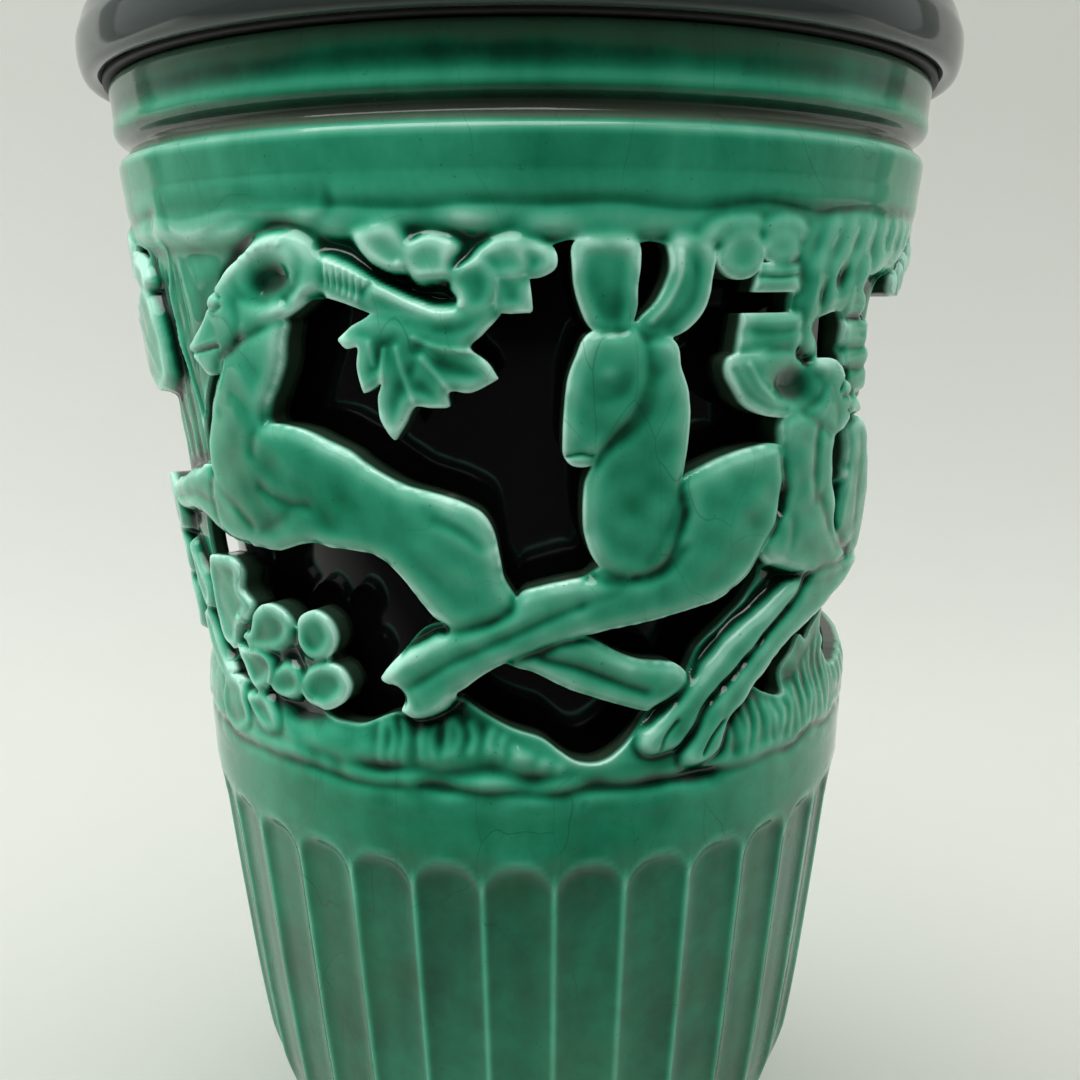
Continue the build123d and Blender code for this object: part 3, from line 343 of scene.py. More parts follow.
# Buck's body, rump and thigh.
shape([(-46.5, -37), (-46.3, -33), (-45.5, -29.2), (-44.2, -25), (-42.7, -20.5), (-41.1, -16.7), (-39, -11),
       (-34, -7), (-29.5, -5), (-28.5, -5.8), (-29, -8.5), (-29.9, -14), (-31.6, -18.5), (-33.6, -24.2),
       (-33.2, -25.2), (-31.5, -25.4), (-28, -26.2), (-24.9, -28), (-21.8, -30), (-20, -32), (-17.5, -34.2),
       (-15, -36), (-12.5, -37), (-10, -38), (-7.5, -39.5), (-5.7, -41.2), (-4.6, -44), (-3.8, -50), (-3.4, -54),
       (-2, -58), (0, -64), (-4, -70), (-9, -68), (-11.1, -64.7), (-11.9, -63.5), (-14.1, -59.5), (-16, -55),
       (-18.3, -51.5), (-20, -50), (-24.9, -49.4), (-29, -49), (-30.8, -49.5), (-33, -50.7), (-34.9, -51.6),
       (-37.7, -51.7), (-40.8, -51.4), (-44.5, -50.9), (-46.6, -48.5), (-47.2, -42)], -1.5, 4.3, 8.5)
swell(-41, -42, 7, 6.5, 0.9, tilt=10)
swell(-38, -28, 5, 11, 0.5, tilt=-70)
swell(-12, -47, 8.5, 6.5, 1.0, tilt=-35)
swell(-25, -40, 6, 4.5, -0.5)
press([(-35.5, -38), (-33, -40.2), (-30.2, -41), (-28.3, -41)], 1.0, -0.8)
press([(-36.5, -47.3), (-33.5, -45), (-31.5, -43)], 0.9, -0.5)
press([(-46.6, -36.5), (-43.8, -40.6), (-40.6, -43.5), (-38.2, -46.8)], 0.9, -0.9)
press([(-33.6, -24.6), (-35.2, -27.6), (-36, -31)], 1.1, -0.6)
shape([(-12.2, -39.9), (-9.6, -40.3), (-7, -42.3), (-5.2, -45.6), (-5, -46.8), (-7, -45.6), (-10, -42.4)],
      1.0, 1.6, 1.6, groove=0.9, fill=False)
press([(-11.6, -42.2), (-8.2, -44.8), (-5.8, -48)], 0.8, -1.0)
press([(-17, -46), (-14, -50), (-11.5, -55), (-9.2, -60)], 1.6, -0.4)

# Buck's head: cheek, muzzle, mouth and eye.
shape([(-46.9, -10.5), (-45.2, -8.3), (-42.7, -5.2), (-40, 0), (-37.1, 4.2), (-34.9, 6.4), (-32.1, 9.1),
       (-29, 10.4), (-24.9, 9.6), (-23.5, 6), (-25, -1), (-29, -5.5), (-33, -8), (-36, -9.7), (-37.1, -11.2),
       (-39.2, -12.6), (-40.2, -14), (-40.9, -15.6), (-42.2, -16.6), (-44.2, -16), (-45.6, -14.6), (-46.7, -13)],
      -0.9, 3.6, 5.2, groove=1.3)
swell(-38.0, -3.6, 3.6, 4.4, 0.8, tilt=40)
press([(-46.4, -12.6), (-44.4, -12), (-42.4, -11.4), (-39.6, -10.6)], 0.42, -0.9)
swell(-45.2, -9.9, 0.8, 0.6, -0.9)
swell(-39.4, -2.2, 1.5, 1.2, 0.9)
press([(-41.2, -2.6), (-40.4, -0.9), (-39, -0.4), (-37.8, -1.4)], 0.45, -0.7)
press([(-41, -3.2), (-39.4, -4), (-37.8, -3)], 0.45, -0.6)
press([(-36, -9.4), (-35.2, -5.6), (-35.6, -1.8)], 0.9, -0.7)

# Buck's horn: a block behind the ear, then a ribbed cone running back to the leaves.
HORN = [(-22.6, 2.6, 3.9), (-19.4, 0.8, 3.5), (-16.3, -1.6, 3), (-13.2, -3.4, 2.5), (-10.2, -4.9, 2.1),
        (-7, -5, 1.7), (-3.8, -3.7, 1.4)]
rod(HORN, -1.0, 2.2, groove=1.2)
press([(-22.6, 1.6), (-19.4, 0.2), (-16.3, -2.2), (-13.2, -3.9), (-10.6, -5)], 1.2, -1.1)
for k in range(17):
    t = k / 16
    x0, h0, tall = -22.2 + 11.6 * t, 3.0 - 7.6 * t - 1.2 * np.sin(np.pi * t) ** 2 + 0.6 * t, 2.2 - 1.2 * t
    press([(x0 - 0.05, h0 - tall), (x0 + 0.25, h0 + tall)], 0.34, 0.75)
press([(-22.8, -0.6), (-19.6, -2), (-16.4, -4.2), (-13.3, -5.6), (-10.3, -6.5), (-7, -6.2)], 0.6, 0.7)
press([(-22.4, 5.2), (-19.3, 3.4), (-16.2, 0.6), (-13.1, -1.8), (-10.1, -3.4)], 0.5, 0.5)
shape([(-27, 9.4), (-24.2, 8.8), (-22.9, 6), (-23, -0.2), (-25.2, -1.6), (-27.4, -3.4), (-29, 0)],
      -0.9, 2.4, 2.4, groove=0.7)
for k in range(5):
    x0, h0 = -34.4 + 1.6 * k, 6.2 + 0.95 * k - 0.12 * k * k
    press([(x0, h0), (x0 + 0.6, h0 - 1.3)], 0.3, 0.5)
# Buck's ear: a rounded ring about a deep hollow.
shape([(-35.4, 1.2), (-34.4, 4.3), (-32.2, 6.7), (-29, 7.8), (-26.4, 7.1), (-25.6, 4.6), (-26.4, 1), (-28.9, -2),
       (-32.1, -2.6), (-34.5, -1.4)], 0.3, 1.7, 2.0, groove=1.0, cup=0.0)
swell(-30.2, 2.0, 6.3, 4.6, -3.2, tilt=10, power=3.6)
press([(-42.9, -4), (-40.8, -0.6), (-37.9, 3.7), (-35.2, 7.2), (-33, 9.6), (-29.2, 11.3), (-25.4, 11.2),
       (-22.2, 9), (-18.7, 6.4), (-15.3, 2.9), (-12.3, -0.1), (-9.6, -0.9), (-7.4, -2.3)], 1.0, -0.9)

# Doe's long foreleg, with a groove down its middle, ending in a hoof at the lower left.
shape([(7.4, -53.7), (4.9, -54.5), (1.2, -55.7), (-1.3, -57), (-2.6, -60), (-5, -62.5), (-8.2, -64.2),
       (-10.3, -65), (-12.5, -66), (-15, -68.2), (-17.2, -70.2), (-19.1, -73), (-20.3, -75.2), (-20.9, -76.6),
       (-20, -77.7), (-18.6, -78.7), (-17.7, -80.2), (-18.2, -83.5), (-17.2, -85.2), (-14.4, -84.6),
       (-11.9, -82.7), (-10.8, -80.7), (-10.3, -78.5), (-9.1, -77.2), (-6.9, -74.5), (-4.4, -72.2), (-0.1, -69.5),
       (3.1, -67.5), (6.2, -66.5), (9.9, -65), (14.9, -64), (21.2, -62.2), (25, -61), (27.5, -59), (30, -55.7),
       (31.5, -52), (33.5, -47), (34, -38), (32.8, -30.5), (28.1, -30.4), (25, -31.4), (21.2, -33.4),
       (18.2, -35.7), (12, -44)],
      -1.0, 4.4, 7.5, groove=1.6, reach=1.1)
swell(23, -46, 11, 11, 1.2, tilt=35)
swell(13, -58.5, 6, 4.0, 0.5, tilt=10)
press([(-16.9, -77.8), (-13.2, -74), (-10, -71), (-6.4, -68.3), (-3.2, -66), (2.1, -62), (6.2, -59.5)], 0.8, -1.3)
press([(6.2, -59.5), (9, -58), (10.9, -57)], 0.9, -0.6)
press([(-18.2, -73.9), (-13.4, -70.2), (-8.2, -66.9), (-3.4, -63.6), (1, -60)], 0.8, 0.5)
press([(-20, -76), (-18, -77), (-16.4, -79.4), (-15.4, -82.2)], 0.7, -0.6)
press([(7.2, -53.9), (10.2, -54.9), (14, -54.9), (17, -53.2), (19, -49)], 0.9, -1.5)

# Doe's neck.
shape([(6.9, -9), (7.2, -20), (7.4, -31.4), (6.6, -35), (6.3, -40), (6.5, -45), (7.4, -49.5), (8.8, -52.5),
       (10.4, -53.8), (14, -54.2), (16.6, -52.6), (18.2, -48), (19.2, -42), (18.4, -36), (18.7, -32.5),
       (18.9, -27.5), (18.9, -21.5), (18.5, -18), (17.5, -14), (16.9, -9.8), (12, -6)], -0.6, 3.9, 8.5,
      groove=0.9)
swell(12.6, -46, 6.5, 7.5, 0.6)
press([(18.3, -36.4), (17.6, -41), (16.4, -46.6), (14.6, -51)], 1.3, -0.5)
# Doe's head, in profile, looking down to the left.
shape([(6.6, -8.2), (5.4, -12), (4.5, -16), (4.1, -21.5), (3.9, -26.5), (4, -30), (4.8, -31.7), (6.2, -32.1),
       (7.4, -31.7), (8.2, -29.7), (10.2, -26), (11.9, -23), (13.2, -19), (13.8, -13), (12.6, -7.8), (9.4, -6.4)],
      0.3, 3.2, 4.8, groove=1.2)
swell(9.6, -12.5, 3.6, 4.6, 0.8)
swell(8.9, -15.2, 3.0, 2.6, -0.7)
swell(8.9, -15.2, 1.5, 1.3, 1.2)
press([(6.4, -17.8), (8, -19.6), (10.4, -18.4), (11.4, -15.4)], 0.7, -0.35)
swell(5.3, -28.6, 0.8, 0.8, -0.8)
press([(4.4, -30), (5.8, -29.6), (7.2, -29.9)], 0.4, -0.7)
press([(7.6, -31.2), (9.8, -28), (12.3, -24.6), (13.9, -20.5), (14.6, -15)], 1.0, -0.9)
# Doe's ears: flat slabs with slightly hollow middles.
shape([(5.4, 8), (8.8, 9), (12.4, 8), (12.5, 4), (12.2, -0.3), (12.2, -3.6), (11, -7.8), (7.4, -7.4), (5.6, -1.9),
       (5.1, 3.3)], -0.3, 1.6, 3.4, groove=0.3, cup=1.3)
shape([(15.8, 8.4), (18.5, 9.2), (21.2, 7.6), (21, 1.4), (20.2, -4.1), (17.4, -8.2), (12.9, -9.2), (12.3, -6.2),
       (14.4, -2.6), (15.9, 2.2), (16, 5.4)], -0.3, 1.6, 3.2, groove=0.3, cup=0.4)
press([(18.6, 6.6), (19.3, 1.6), (18.6, -3.2), (16.2, -7)], 1.5, -1.0)
press([(17, 6.2), (16.9, 1.8), (15.6, -2.6), (13.8, -6)], 0.5, 0.5)
press([(5.2, -9.4), (7.4, -8), (10.4, -8.2), (12.4, -10)], 0.9, -0.5)

# Stag: far foreleg curving down at the right edge, chest and thigh.
shape([(49.6, -26.7), (52.7, -28), (54.9, -31), (56.3, -35.5), (58, -40), (59.4, -45), (60, -52), (59.4, -60),
       (57.7, -60), (54.9, -60.2), (50, -60.3), (48, -56), (48.5, -48), (49.2, -40), (48.6, -33), (47.8, -29)],
      -1.4, 3.2, 4.6)
press([(51.2, -31), (52.6, -37), (53.6, -44), (54.6, -51)], 0.9, -0.6)
shape([(32.8, -25.2), (32.9, -30), (33.5, -35), (34.5, -42.5), (33.4, -47), (31.6, -52), (33.1, -55),
       (36.8, -57.7), (40, -59.5), (44.9, -60.7), (50, -60.4), (53.5, -58), (50.2, -54.5), (47.4, -49.5),
       (46.2, -43.5), (44.9, -40), (44, -36), (43.7, -32), (44.6, -28.7), (43, -24),
       (37, -22)], -0.8, 4.2, 7.0, groove=1.2)
swell(39.5, -50, 7, 6, 0.7)
press([(39.3, -26), (39.1, -31), (39.5, -37), (40.4, -42.5)], 0.9, -1.2)
press([(41.5, -42.5), (43, -46), (44.3, -48.5), (46.4, -52.4), (48.7, -55.2), (54, -57.2)], 1.0, -1.2)
press([(34.8, -43), (36.4, -47.6), (36.2, -52)], 1.0, -0.6)

# Stag's hind legs: two long rods side by side, hooves to the lower left.
shape([(37.7, -60.2), (36.5, -61.5), (32.4, -65.5), (28.4, -69), (24.3, -75), (22.5, -78.5), (19.9, -82.5),
       (16.9, -86.5), (14.8, -89), (14.4, -92), (15.9, -94), (18.1, -93.8), (20.9, -92.8), (22.9, -89.5),
       (24.5, -85), (27, -81.2), (30.8, -76.3), (35.1, -70.3), (39.8, -64.8), (42, -60)], -1.2, 3.8, 3.6,
      groove=1.2)
shape([(55.2, -65.2), (50, -68), (44.9, -71), (42.1, -72.5), (39.3, -74.7), (36.8, -77.2), (34.9, -80),
       (33.4, -82.5), (32.6, -84.5), (31.5, -86.5), (29.5, -88.5), (28.6, -90.5), (28.2, -93), (27.6, -95.4),
       (25.6, -97.2), (23.1, -97.9), (21, -96.9), (21, -94.5), (23, -90), (24.4, -85.2), (26.9, -81.6),
       (30.7, -76.7), (35, -70.7), (39.7, -65.2), (43, -59.5), (50, -59), (57.7, -59.5), (60, -61)],
      -0.8, 3.9, 3.8, groove=1.2)
press([(37, -68.6), (33.4, -74.2), (29.6, -79.8), (27.2, -84.5), (25.8, -89.5)], 0.7, 0.5)
press([(20, -86.6), (18.2, -89.8), (17.6, -92.6)], 0.5, -0.6)
press([(27.6, -88.6), (25.8, -91.4), (24.4, -95.2)], 0.5, -0.7)
press([(36.6, -60.6), (40, -61.4), (45, -62), (51, -62), (57, -61.6)], 0.8, -0.7)

# Stag's horn: two stepped blocks, with the border's soft leafy mass behind.
shape([(31.4, 6), (32.6, 4), (32.8, -2.6), (33, -5.2), (34.4, -11), (37.6, -14.6), (38.6, -12), (37.2, -7.4),
       (40, -5), (44.4, -4.6), (46.6, -3), (48.6, 1), (52.4, 2.4), (57.2, 3.4), (62.4, 8), (64, 13), (36, 13)],
      -1.4, 1.3, 4.0, groove=0.0, cup=0.0)
for top, low, left, right, out in ((4.4, -0.9, 27.4, 33.4, -0.7), (-4.7, -12.6, 25.6, 34.6, -0.9)):
    shape([(left, top), (left, top), (right, top), (right, top), (right + 0.3, low), (right + 0.3, low),
           (left - 0.6, low), (left - 0.6, low)], out, 1.9, 2.4, groove=0.7, reach=0.7, cup=0.3)
press([(26, -7.9), (29.6, -8.2), (34.2, -7.8)], 0.6, -0.7)
press([(27.6, 2), (30.2, 1.8), (33, 2.2)], 0.5, -0.5)

# Stag's head, facing right, and the big hollow ear.
shape([(36.5, -15), (39.3, -13.7), (41.8, -14.5), (44.3, -16.8), (46.5, -19.8), (48.7, -22.3), (50, -24.2),
       (50.3, -25.6), (49.2, -26.6), (47.5, -26.2), (46.9, -27.6), (45, -29), (43.5, -30), (41, -28.5), (38, -26),
       (35.5, -24)], -0.4, 3.4, 4.4, groove=1.2)
swell(44.7, -20.1, 1.5, 1.2, 0.9, tilt=-40)
press([(43, -20.4), (43.9, -18.4), (45.6, -18.8)], 0.45, -0.7)
press([(43.6, -21.6), (45, -21.8), (46.2, -20.6)], 0.45, -0.6)
press([(47.2, -26.2), (45.6, -24.8)], 0.4, -0.7)
press([(40, -17.5), (41.6, -21.5), (43.2, -25.5), (43.4, -28.5)], 0.9, -0.7)
shape([(23.9, -12.9), (26.5, -11.8), (30, -11.8), (33.9, -12.2), (37.2, -15.1), (39.6, -19), (39.3, -21.6),
       (36.9, -23.8), (32.2, -24.8), (27.2, -22.6), (24.7, -18.6),
       (23.6, -15.6)], 0.0, 2.3, 4.4, groove=1.2, cup=0.0)
swell(34.2, -18.2, 7.2, 4.9, -3.3, tilt=-14, power=3.8)
press([(24.4, -15), (26.4, -19.4), (29.6, -22.2), (33.2, -23.4)], 0.5, -0.35)
press([(26.2, -14), (28, -18), (30.6, -20.8)], 0.5, 0.35)

# Ribbed pod hanging at the right: stacked blocks.
for top, low, left, right in ((-0.4, -6.0, 43.2, 48.8), (-6.2, -12.0, 43.6, 50.8), (-12.2, -16.4, 44.2, 51.8),
                              (-16.6, -22.0, 45.6, 52.4)):
    shape([(left, top), (left, top), (right, top), (right, top), (right, low), (right, low), (left + 0.3, low),
           (left + 0.3, low)], -1.3, 1.5, 2.4, groove=0.7, reach=0.6, cup=0.5)

# Leaves under the border: a big hanging leaf of pointed, hollow lobes, then a cluster above it.
LEAF = [(-18.1, -5.2), (-20, -6.7), (-21.7, -9), (-21.7, -9), (-20.7, -10.6), (-19.2, -10.2), (-19.6, -14),
        (-19, -18.8), (-19, -18.8), (-17.7, -17.7), (-16.6, -16.7), (-17.3, -19.5), (-17.2, -23.5), (-15.8, -27.5),
        (-15.8, -27.5), (-14.4, -24.5), (-12.9, -21), (-11, -21.1), (-8.9, -21.1), (-8.9, -21.1), (-8.8, -18.2),
        (-6.3, -18.3), (-3.2, -15.9), (-3.2, -15.9), (-4.3, -13), (-6.2, -10.2), (-4.8, -8), (-2.6, -3.6),
        (-6, -2.5), (-12, -3), (-16, -3.2)]
shape(LEAF, -0.9, 2.2, 3.0, groove=1.1, cup=0.3)
rod(HORN[2:], -0.7, 2.1, groove=0.6)
press([(-16.3, -2.2), (-13.2, -3.9), (-10.6, -5)], 1.2, -1.1)
for path, wide in (([(-20.2, -8.2), (-18.4, -7.6)], 0.8), ([(-18, -15.8), (-16.9, -12.5), (-16.2, -9.8)], 1.1),
                   ([(-15.7, -24), (-15.3, -20.6), (-14.6, -17.4)], 1.2), ([(-10.4, -19.4), (-12, -17.4)], 1.0),
                   ([(-5, -15.4), (-7.6, -14.2), (-9.6, -12.8)], 1.3), ([(-13.2, -15), (-12.6, -13)], 0.6),
                   ([(-12.6, -10.9), (-11.4, -9.4)], 0.7), ([(-15.4, -9.4), (-14.4, -8.4)], 0.6)):
    press(path, wide, -0.95)
for path in ([(-17.6, -9.4), (-17.4, -13.4)], [(-14.4, -10.4), (-13.9, -14.6), (-12.9, -20)],
             [(-12.4, -8.6), (-9.4, -10.4), (-5.6, -11)], [(-11.6, -12.2), (-9.8, -15.6), (-8.6, -18)],
             [(-16, -10.6), (-16.4, -16.2)]):
    press(path, 0.45, 0.45)
for ring in (
    [(-19, 9.4), (-17.2, 4.4), (-13.4, 2.4), (-12.4, 6.4), (-13.4, 10.6)],
    [(-2.9, 2.2), (0.5, 2.2), (0.5, 1.7), (0.7, -4.2), (0.4, -4.2), (-3, -4.1), (-3.2, -3.4), (-3.1, 1.4)],
    [(-1.6, 9.6), (0.7, 8.4), (3, 7.2), (3.5, 5.4), (3.2, 3.2), (0.8, 1.7), (-1, 4)],
    [(-6.2, 4.4), (-4.4, 7.6), (-1.8, 9.2), (-0.4, 8), (0.7, 4.4), (0, 2), (-3, 1.4)],
    [(-7.4, -2.2), (-8.4, 1), (-6.9, 4.6), (-4.4, 5.2), (-2.8, 2.4), (-3, -1.4), (-4.2, -4), (-6.4, -4.6)],
    [(-12.8, 2.6), (-13, 6.2), (-11.8, 9), (-9, 9.4), (-6.6, 7.4), (-7.6, 4.2), (-8, 1.4), (-9.9, 1.2), (-12, 1)],
):
    shape(ring, -0.6, 2.0, 2.6, groove=1.1, cup=1.3)
for path in ([(-13.6, 4.4), (-12.4, 0.6), (-9.7, 0.7), (-7.8, -0.6), (-7, -2.6)],):
    press(path, 0.5, 0.6)
for k in range(8):
    swell(-29.0 + 4.6 * k, 11.4 + 0.9 * np.sin(1.7 * k), 3.0, 1.7, 0.65 if k % 2 else -0.45,
          tilt=20 - 12 * (k % 3))

# Petals and leaves under the border on the right.
for ring in (
    [(19.2, 8.6), (21, 11.6), (24, 12.8), (27.2, 12.4), (27.6, 9.4), (23, 7.4)],
    [(27, 10.4), (29.6, 12.8), (33, 12.6), (34.6, 10), (32, 8)],
    [(21.6, 4.6), (22.4, 8.6), (24.8, 10.6), (27.4, 9), (27.9, 5.4), (26.8, 2.4), (25.2, 1.4), (23.2, 1.9)],
    [(27.5, 8.9), (29.6, 10.4), (32, 10.2), (33.2, 7.4), (32.5, 4.8), (29.6, 3.9), (27.9, 5.6)],
):
    shape(ring, -1.0, 2.0, 2.8, groove=0.8, cup=0.9)
for k in range(7):
    x0 = 37.6 + 3.9 * k
    press([(x0 + 1.6, 11.6 - 0.4 * (k % 2)), (x0 - 0.2, 7.4), (x0 - 1.6, 3.2 + 0.5 * k)], 1.5, 0.75)
    swell(x0 - 1.2, 8.2 - 1.2 * (k % 2), 1.5, 2.8, -0.75, tilt=-22)
for x0, h0, wide, tall, amount, tilt in (
    (36.6, 0.6, 1.8, 4.4, 0.9, -10), (39.8, -1.4, 2.0, 3.2, 0.9, 16), (38.2, -2.0, 1.0, 3.0, -0.9, 6),
    (43.4, -1.0, 2.0, 3.0, 1.0, 10), (41.6, 1.6, 1.4, 2.6, -0.9, -30), (46.6, 1.8, 1.8, 3.2, 0.9, -16),
    (50.6, 5.0, 2.0, 3.0, 0.9, -30), (48.6, 5.6, 1.1, 3.0, -0.8, -30),
):
    swell(x0, h0, wide, tall, amount, tilt=tilt)

# Flowers and leaves, lower left.
shape([(-40, -70), (-35.6, -68.4), (-32, -71.6), (-29.4, -74.4), (-31, -77.6), (-34.6, -82.6), (-39, -81),
       (-43, -76)],
      -1.5, 0.8, 3.0, groove=0.0, cup=0.0)
for ring in (
    [(-54.6, -60), (-53.4, -57.4), (-50.6, -56.6), (-46.2, -56.2), (-44.8, -58.6), (-45.6, -62.8), (-43.6, -66),
     (-45.4, -69.4), (-48.4, -74), (-50.2, -78), (-54, -78.6), (-55.4, -74), (-55.8, -67)],
    [(-64, -56), (-61, -60.4), (-57.6, -66.4), (-58, -71.4), (-62, -71.6), (-64.5, -64)],
    [(-63.6, -74), (-60.4, -72.2), (-58.6, -77), (-56, -82), (-53.4, -85.2), (-57.6, -88.2), (-62, -84)],
    [(-58, -88.6), (-54, -86), (-50.4, -86.2), (-49.6, -90.4), (-48.8, -95.4), (-52, -99.4), (-56.4, -100),
     (-59.2, -96)],
    [(-49.6, -88.4), (-47.4, -87.6), (-44.4, -86.4), (-42.4, -88.6), (-40.8, -93.8), (-43.8, -95.6),
     (-47.6, -93)],
    [(-50, -77.6), (-46, -76.2), (-42.4, -75.6), (-40, -77.6), (-41, -81.6), (-44, -85.8), (-46.8, -86.4),
     (-48.2, -82)],
    [(-44.9, -71.4), (-43.2, -67.6), (-40, -64.6), (-37.3, -65), (-35.5, -67.6), (-35.6, -70.8), (-37.6, -74.3),
     (-41.9, -76.3), (-46.4, -76.5), (-47.4, -73.8)],
    [(-42.2, -84.9), (-40.4, -79.6), (-36.8, -77.1), (-34.5, -79.6), (-35.2, -84), (-38.1, -86.3), (-41, -86)],
    [(-34.4, -69.3), (-33.2, -65.8), (-30.8, -63.9), (-28.5, -65.2), (-27.5, -68.6), (-28.2, -71.9),
     (-30.2, -74.7), (-32.9, -75), (-34.4, -72.6)],
    [(-35, -81.6), (-33.6, -77.6), (-30.4, -75.3), (-27.5, -76), (-26.2, -79.5), (-27.1, -82.7), (-29.1, -85.1),
     (-31.6, -86.3), (-34.9, -85.3)],
):
    shape(ring, -0.9, 2.0, 3.4, groove=0.55, cup=1.3)
swell(-36.2, -75.6, 2.6, 2.6, -1.2)
swell(-36.6, -88.8, 4.0, 1.8, -1.2, tilt=8)
press([(-45.6, -77.4), (-42.6, -77), (-41, -79), (-41.6, -82.4), (-44.2, -86.4)], 0.5, 0.7)
press([(-47.6, -69.6), (-46.4, -71.8), (-46.6, -74)], 0.5, 0.9)

# Ground: tufts of grass as upright ribs, and a ragged hollow under their lower edge.
for k in range(19):
    x0 = -22.4 + 1.95 * k + 0.3 * np.sin(2.7 * k)
    if 12.4 < x0 < 27.5:
        continue
    top = np.interp(x0, [-22, -11, -6, 5, 12], [-85.6, -83.0, -86.6, -95.5, -96.5])
    low = np.interp(x0, [-22, -7, 5, 12], [-96.0, -92.2, -96.6, -98.5])
    lean = 0.9 * np.sin(1.3 * k) + 0.03 * (x0 + 5)
    if top > low + 2:
        press([(x0 - lean, top - 1.4), (x0 + 0.4, (top + low) / 2), (x0 - 0.6 * lean, low + 1.0)], 0.85, 0.75)
for k in range(15):
    x0 = 29.0 + 2.0 * k + 0.3 * np.sin(2.1 * k)
    top = np.interp(x0, [29, 34, 40, 46, 54, 58], [-89.5, -85.5, -88.8, -85.5, -78.0, -80.0])
    press([(x0 - 0.5, top - 1.2), (x0 + 0.2, -91.6), (x0 + 0.9 * np.sin(1.7 * k), -97.6)], 0.8, 0.65)
UNDERCUT = [(-33.5, -97.4), (-29.6, -98.2), (-24.8, -97.2), (-19.8, -96.4), (-15.2, -97.4), (-10.6, -96.4),
            (-5.9, -95.2), (-2.6, -97.2), (3.1, -97.6), (10.3, -98.6), (15.7, -99), (21, -100), (26.5, -101)]
press(UNDERCUT, 2.2, -0.55)
for x0, h0, wide, tall in (
    (-29.6, -98.4, 2.6, 1.8), (-22.2, -97.6, 4.0, 2.2), (-13.6, -98.8, 4.6, 2.6), (-0.6, -98.4, 4.0, 2.2),
    (8.4, -98.6, 3.4, 1.6), (17.0, -99.0, 4.2, 2.0), (24.8, -100.6, 4.0, 1.8),
):
    swell(x0, h0, wide, tall, -0.5)
swell(-6.6, -98.4, 3.4, 1.6, 0.8)
swell(-18.0, -99.6, 2.4, 1.4, 0.5)
swell(33.6, -99.6, 6.0, 2.0, 0.6)

# Far side: a fringe of short leaves, the wall's leafy edge, and leaves under the buck's hoof.
for k in range(13):
    x0, h0 = 57.4 + 4.1 * k, np.interp(k, [0, 3, 9, 12], [3.5, 10.5, 11.5, 10.5])
    leaf(x0, h0, -62 - 22 * (k % 3), 6.4 + 1.6 * (k % 2), 4.6)
for ring in (
    [(107.5, 13.5), (104.6, 9.6), (103.6, 5), (106, 2.8), (109.5, 4.2), (113, 6), (114.4, 9.6), (111.5, 13)],
    [(113, 7.6), (115.6, 8), (119.6, 5.4), (121.4, 1.4), (119, -0.8), (115.8, 0.2), (113.8, 3.4)],
    [(118.6, 0.8), (121.4, -3), (123.2, -9), (123.6, -15), (123.2, -19.4), (119.4, -21.8), (114.4, -20.8),
     (109.4, -17.6), (106.2, -12.6), (106.6, -7.6), (110, -3.4), (114.4, -0.6)],
    [(104.5, -44.6), (108.6, -42.2), (112.4, -43.6), (115, -48.6), (113.6, -54.4), (109.4, -55.8),
     (105.6, -51.6)],
    [(105, -56), (109.4, -54.6), (112.4, -59.6), (111.6, -66), (107.8, -67.4), (104.6, -62.4)],
    [(103.6, -68), (108, -66.6), (111.4, -71.4), (111, -79), (107, -82.4), (103, -76.4)],
):
    shape(ring, -0.7, 2.2, 3.0, groove=0.9, cup=0.7)
press([(108.4, -6.6), (112.6, -8.8), (117, -13.6), (121.4, -18.4)], 0.7, 0.6)
for path in ([(57, -83), (59.4, -90)], [(60.4, -84.6), (62.4, -93)], [(64.2, -86), (65.6, -95)],
             [(68.4, -87.6), (69.4, -96)], [(73, -89), (73.6, -97)]):
    press([path[0], path[1]], 0.8, 0.6)
depth = 0.875 * depth - 0.375 * (np.hypot(depth, 0.5) - 0.5)  # figures stand little proud of the border
depth += 0.10 * waves(GRID_X, GRID_H, 9, 11) * smooth_step(-GRID_H, -11, -8)
fringe = smooth_step(GRID_H, 3.0, 8.0) * smooth_step(-GRID_H, -19, -15)
depth = depth + (soften(depth, 0.9) - depth) * 0.75 * fringe
CAST, CRISP = 0.70, 0.22  # how far the casting softens the relief and its fine lines, millimetres
filled, known = carry_out(depth, solid > 0, int(REACH / STEP))
depth = soften(np.where(known, filled, depth), CAST) + soften(detail, CRISP)
low_side = smooth_step(GRID_H, LOW, LOW + 5)
high_side = smooth_step(-GRID_H, -HIGH, -HIGH + 5)
depth *= low_side * high_side
# Glaze tone from the relief's shape: dark where the glaze pools in hollows, deepened there with painted shade, and
# pale where it runs thin over raised edges and round the openings.
fine = np.clip((depth - soften(depth, 1.3)) / 0.42, -1, 1)
pooling_and_shade = np.where(fine > 0, 0.62, 0.70) * fine
broad = np.clip((depth - soften(depth, 4.0)) / 1.4, -1, 1)
pooling_and_shade += np.where(broad > 0, 0.50, 0.75) * broad
pooling_and_shade += 0.45 * np.exp(-(np.maximum(solid, 0) / 2.0) ** 2)
pooling_and_shade += 0.45 * smooth_step(GRID_H, 1.0, 7.0) * smooth_step(crease - GRID_H, 0.0, 1.2)

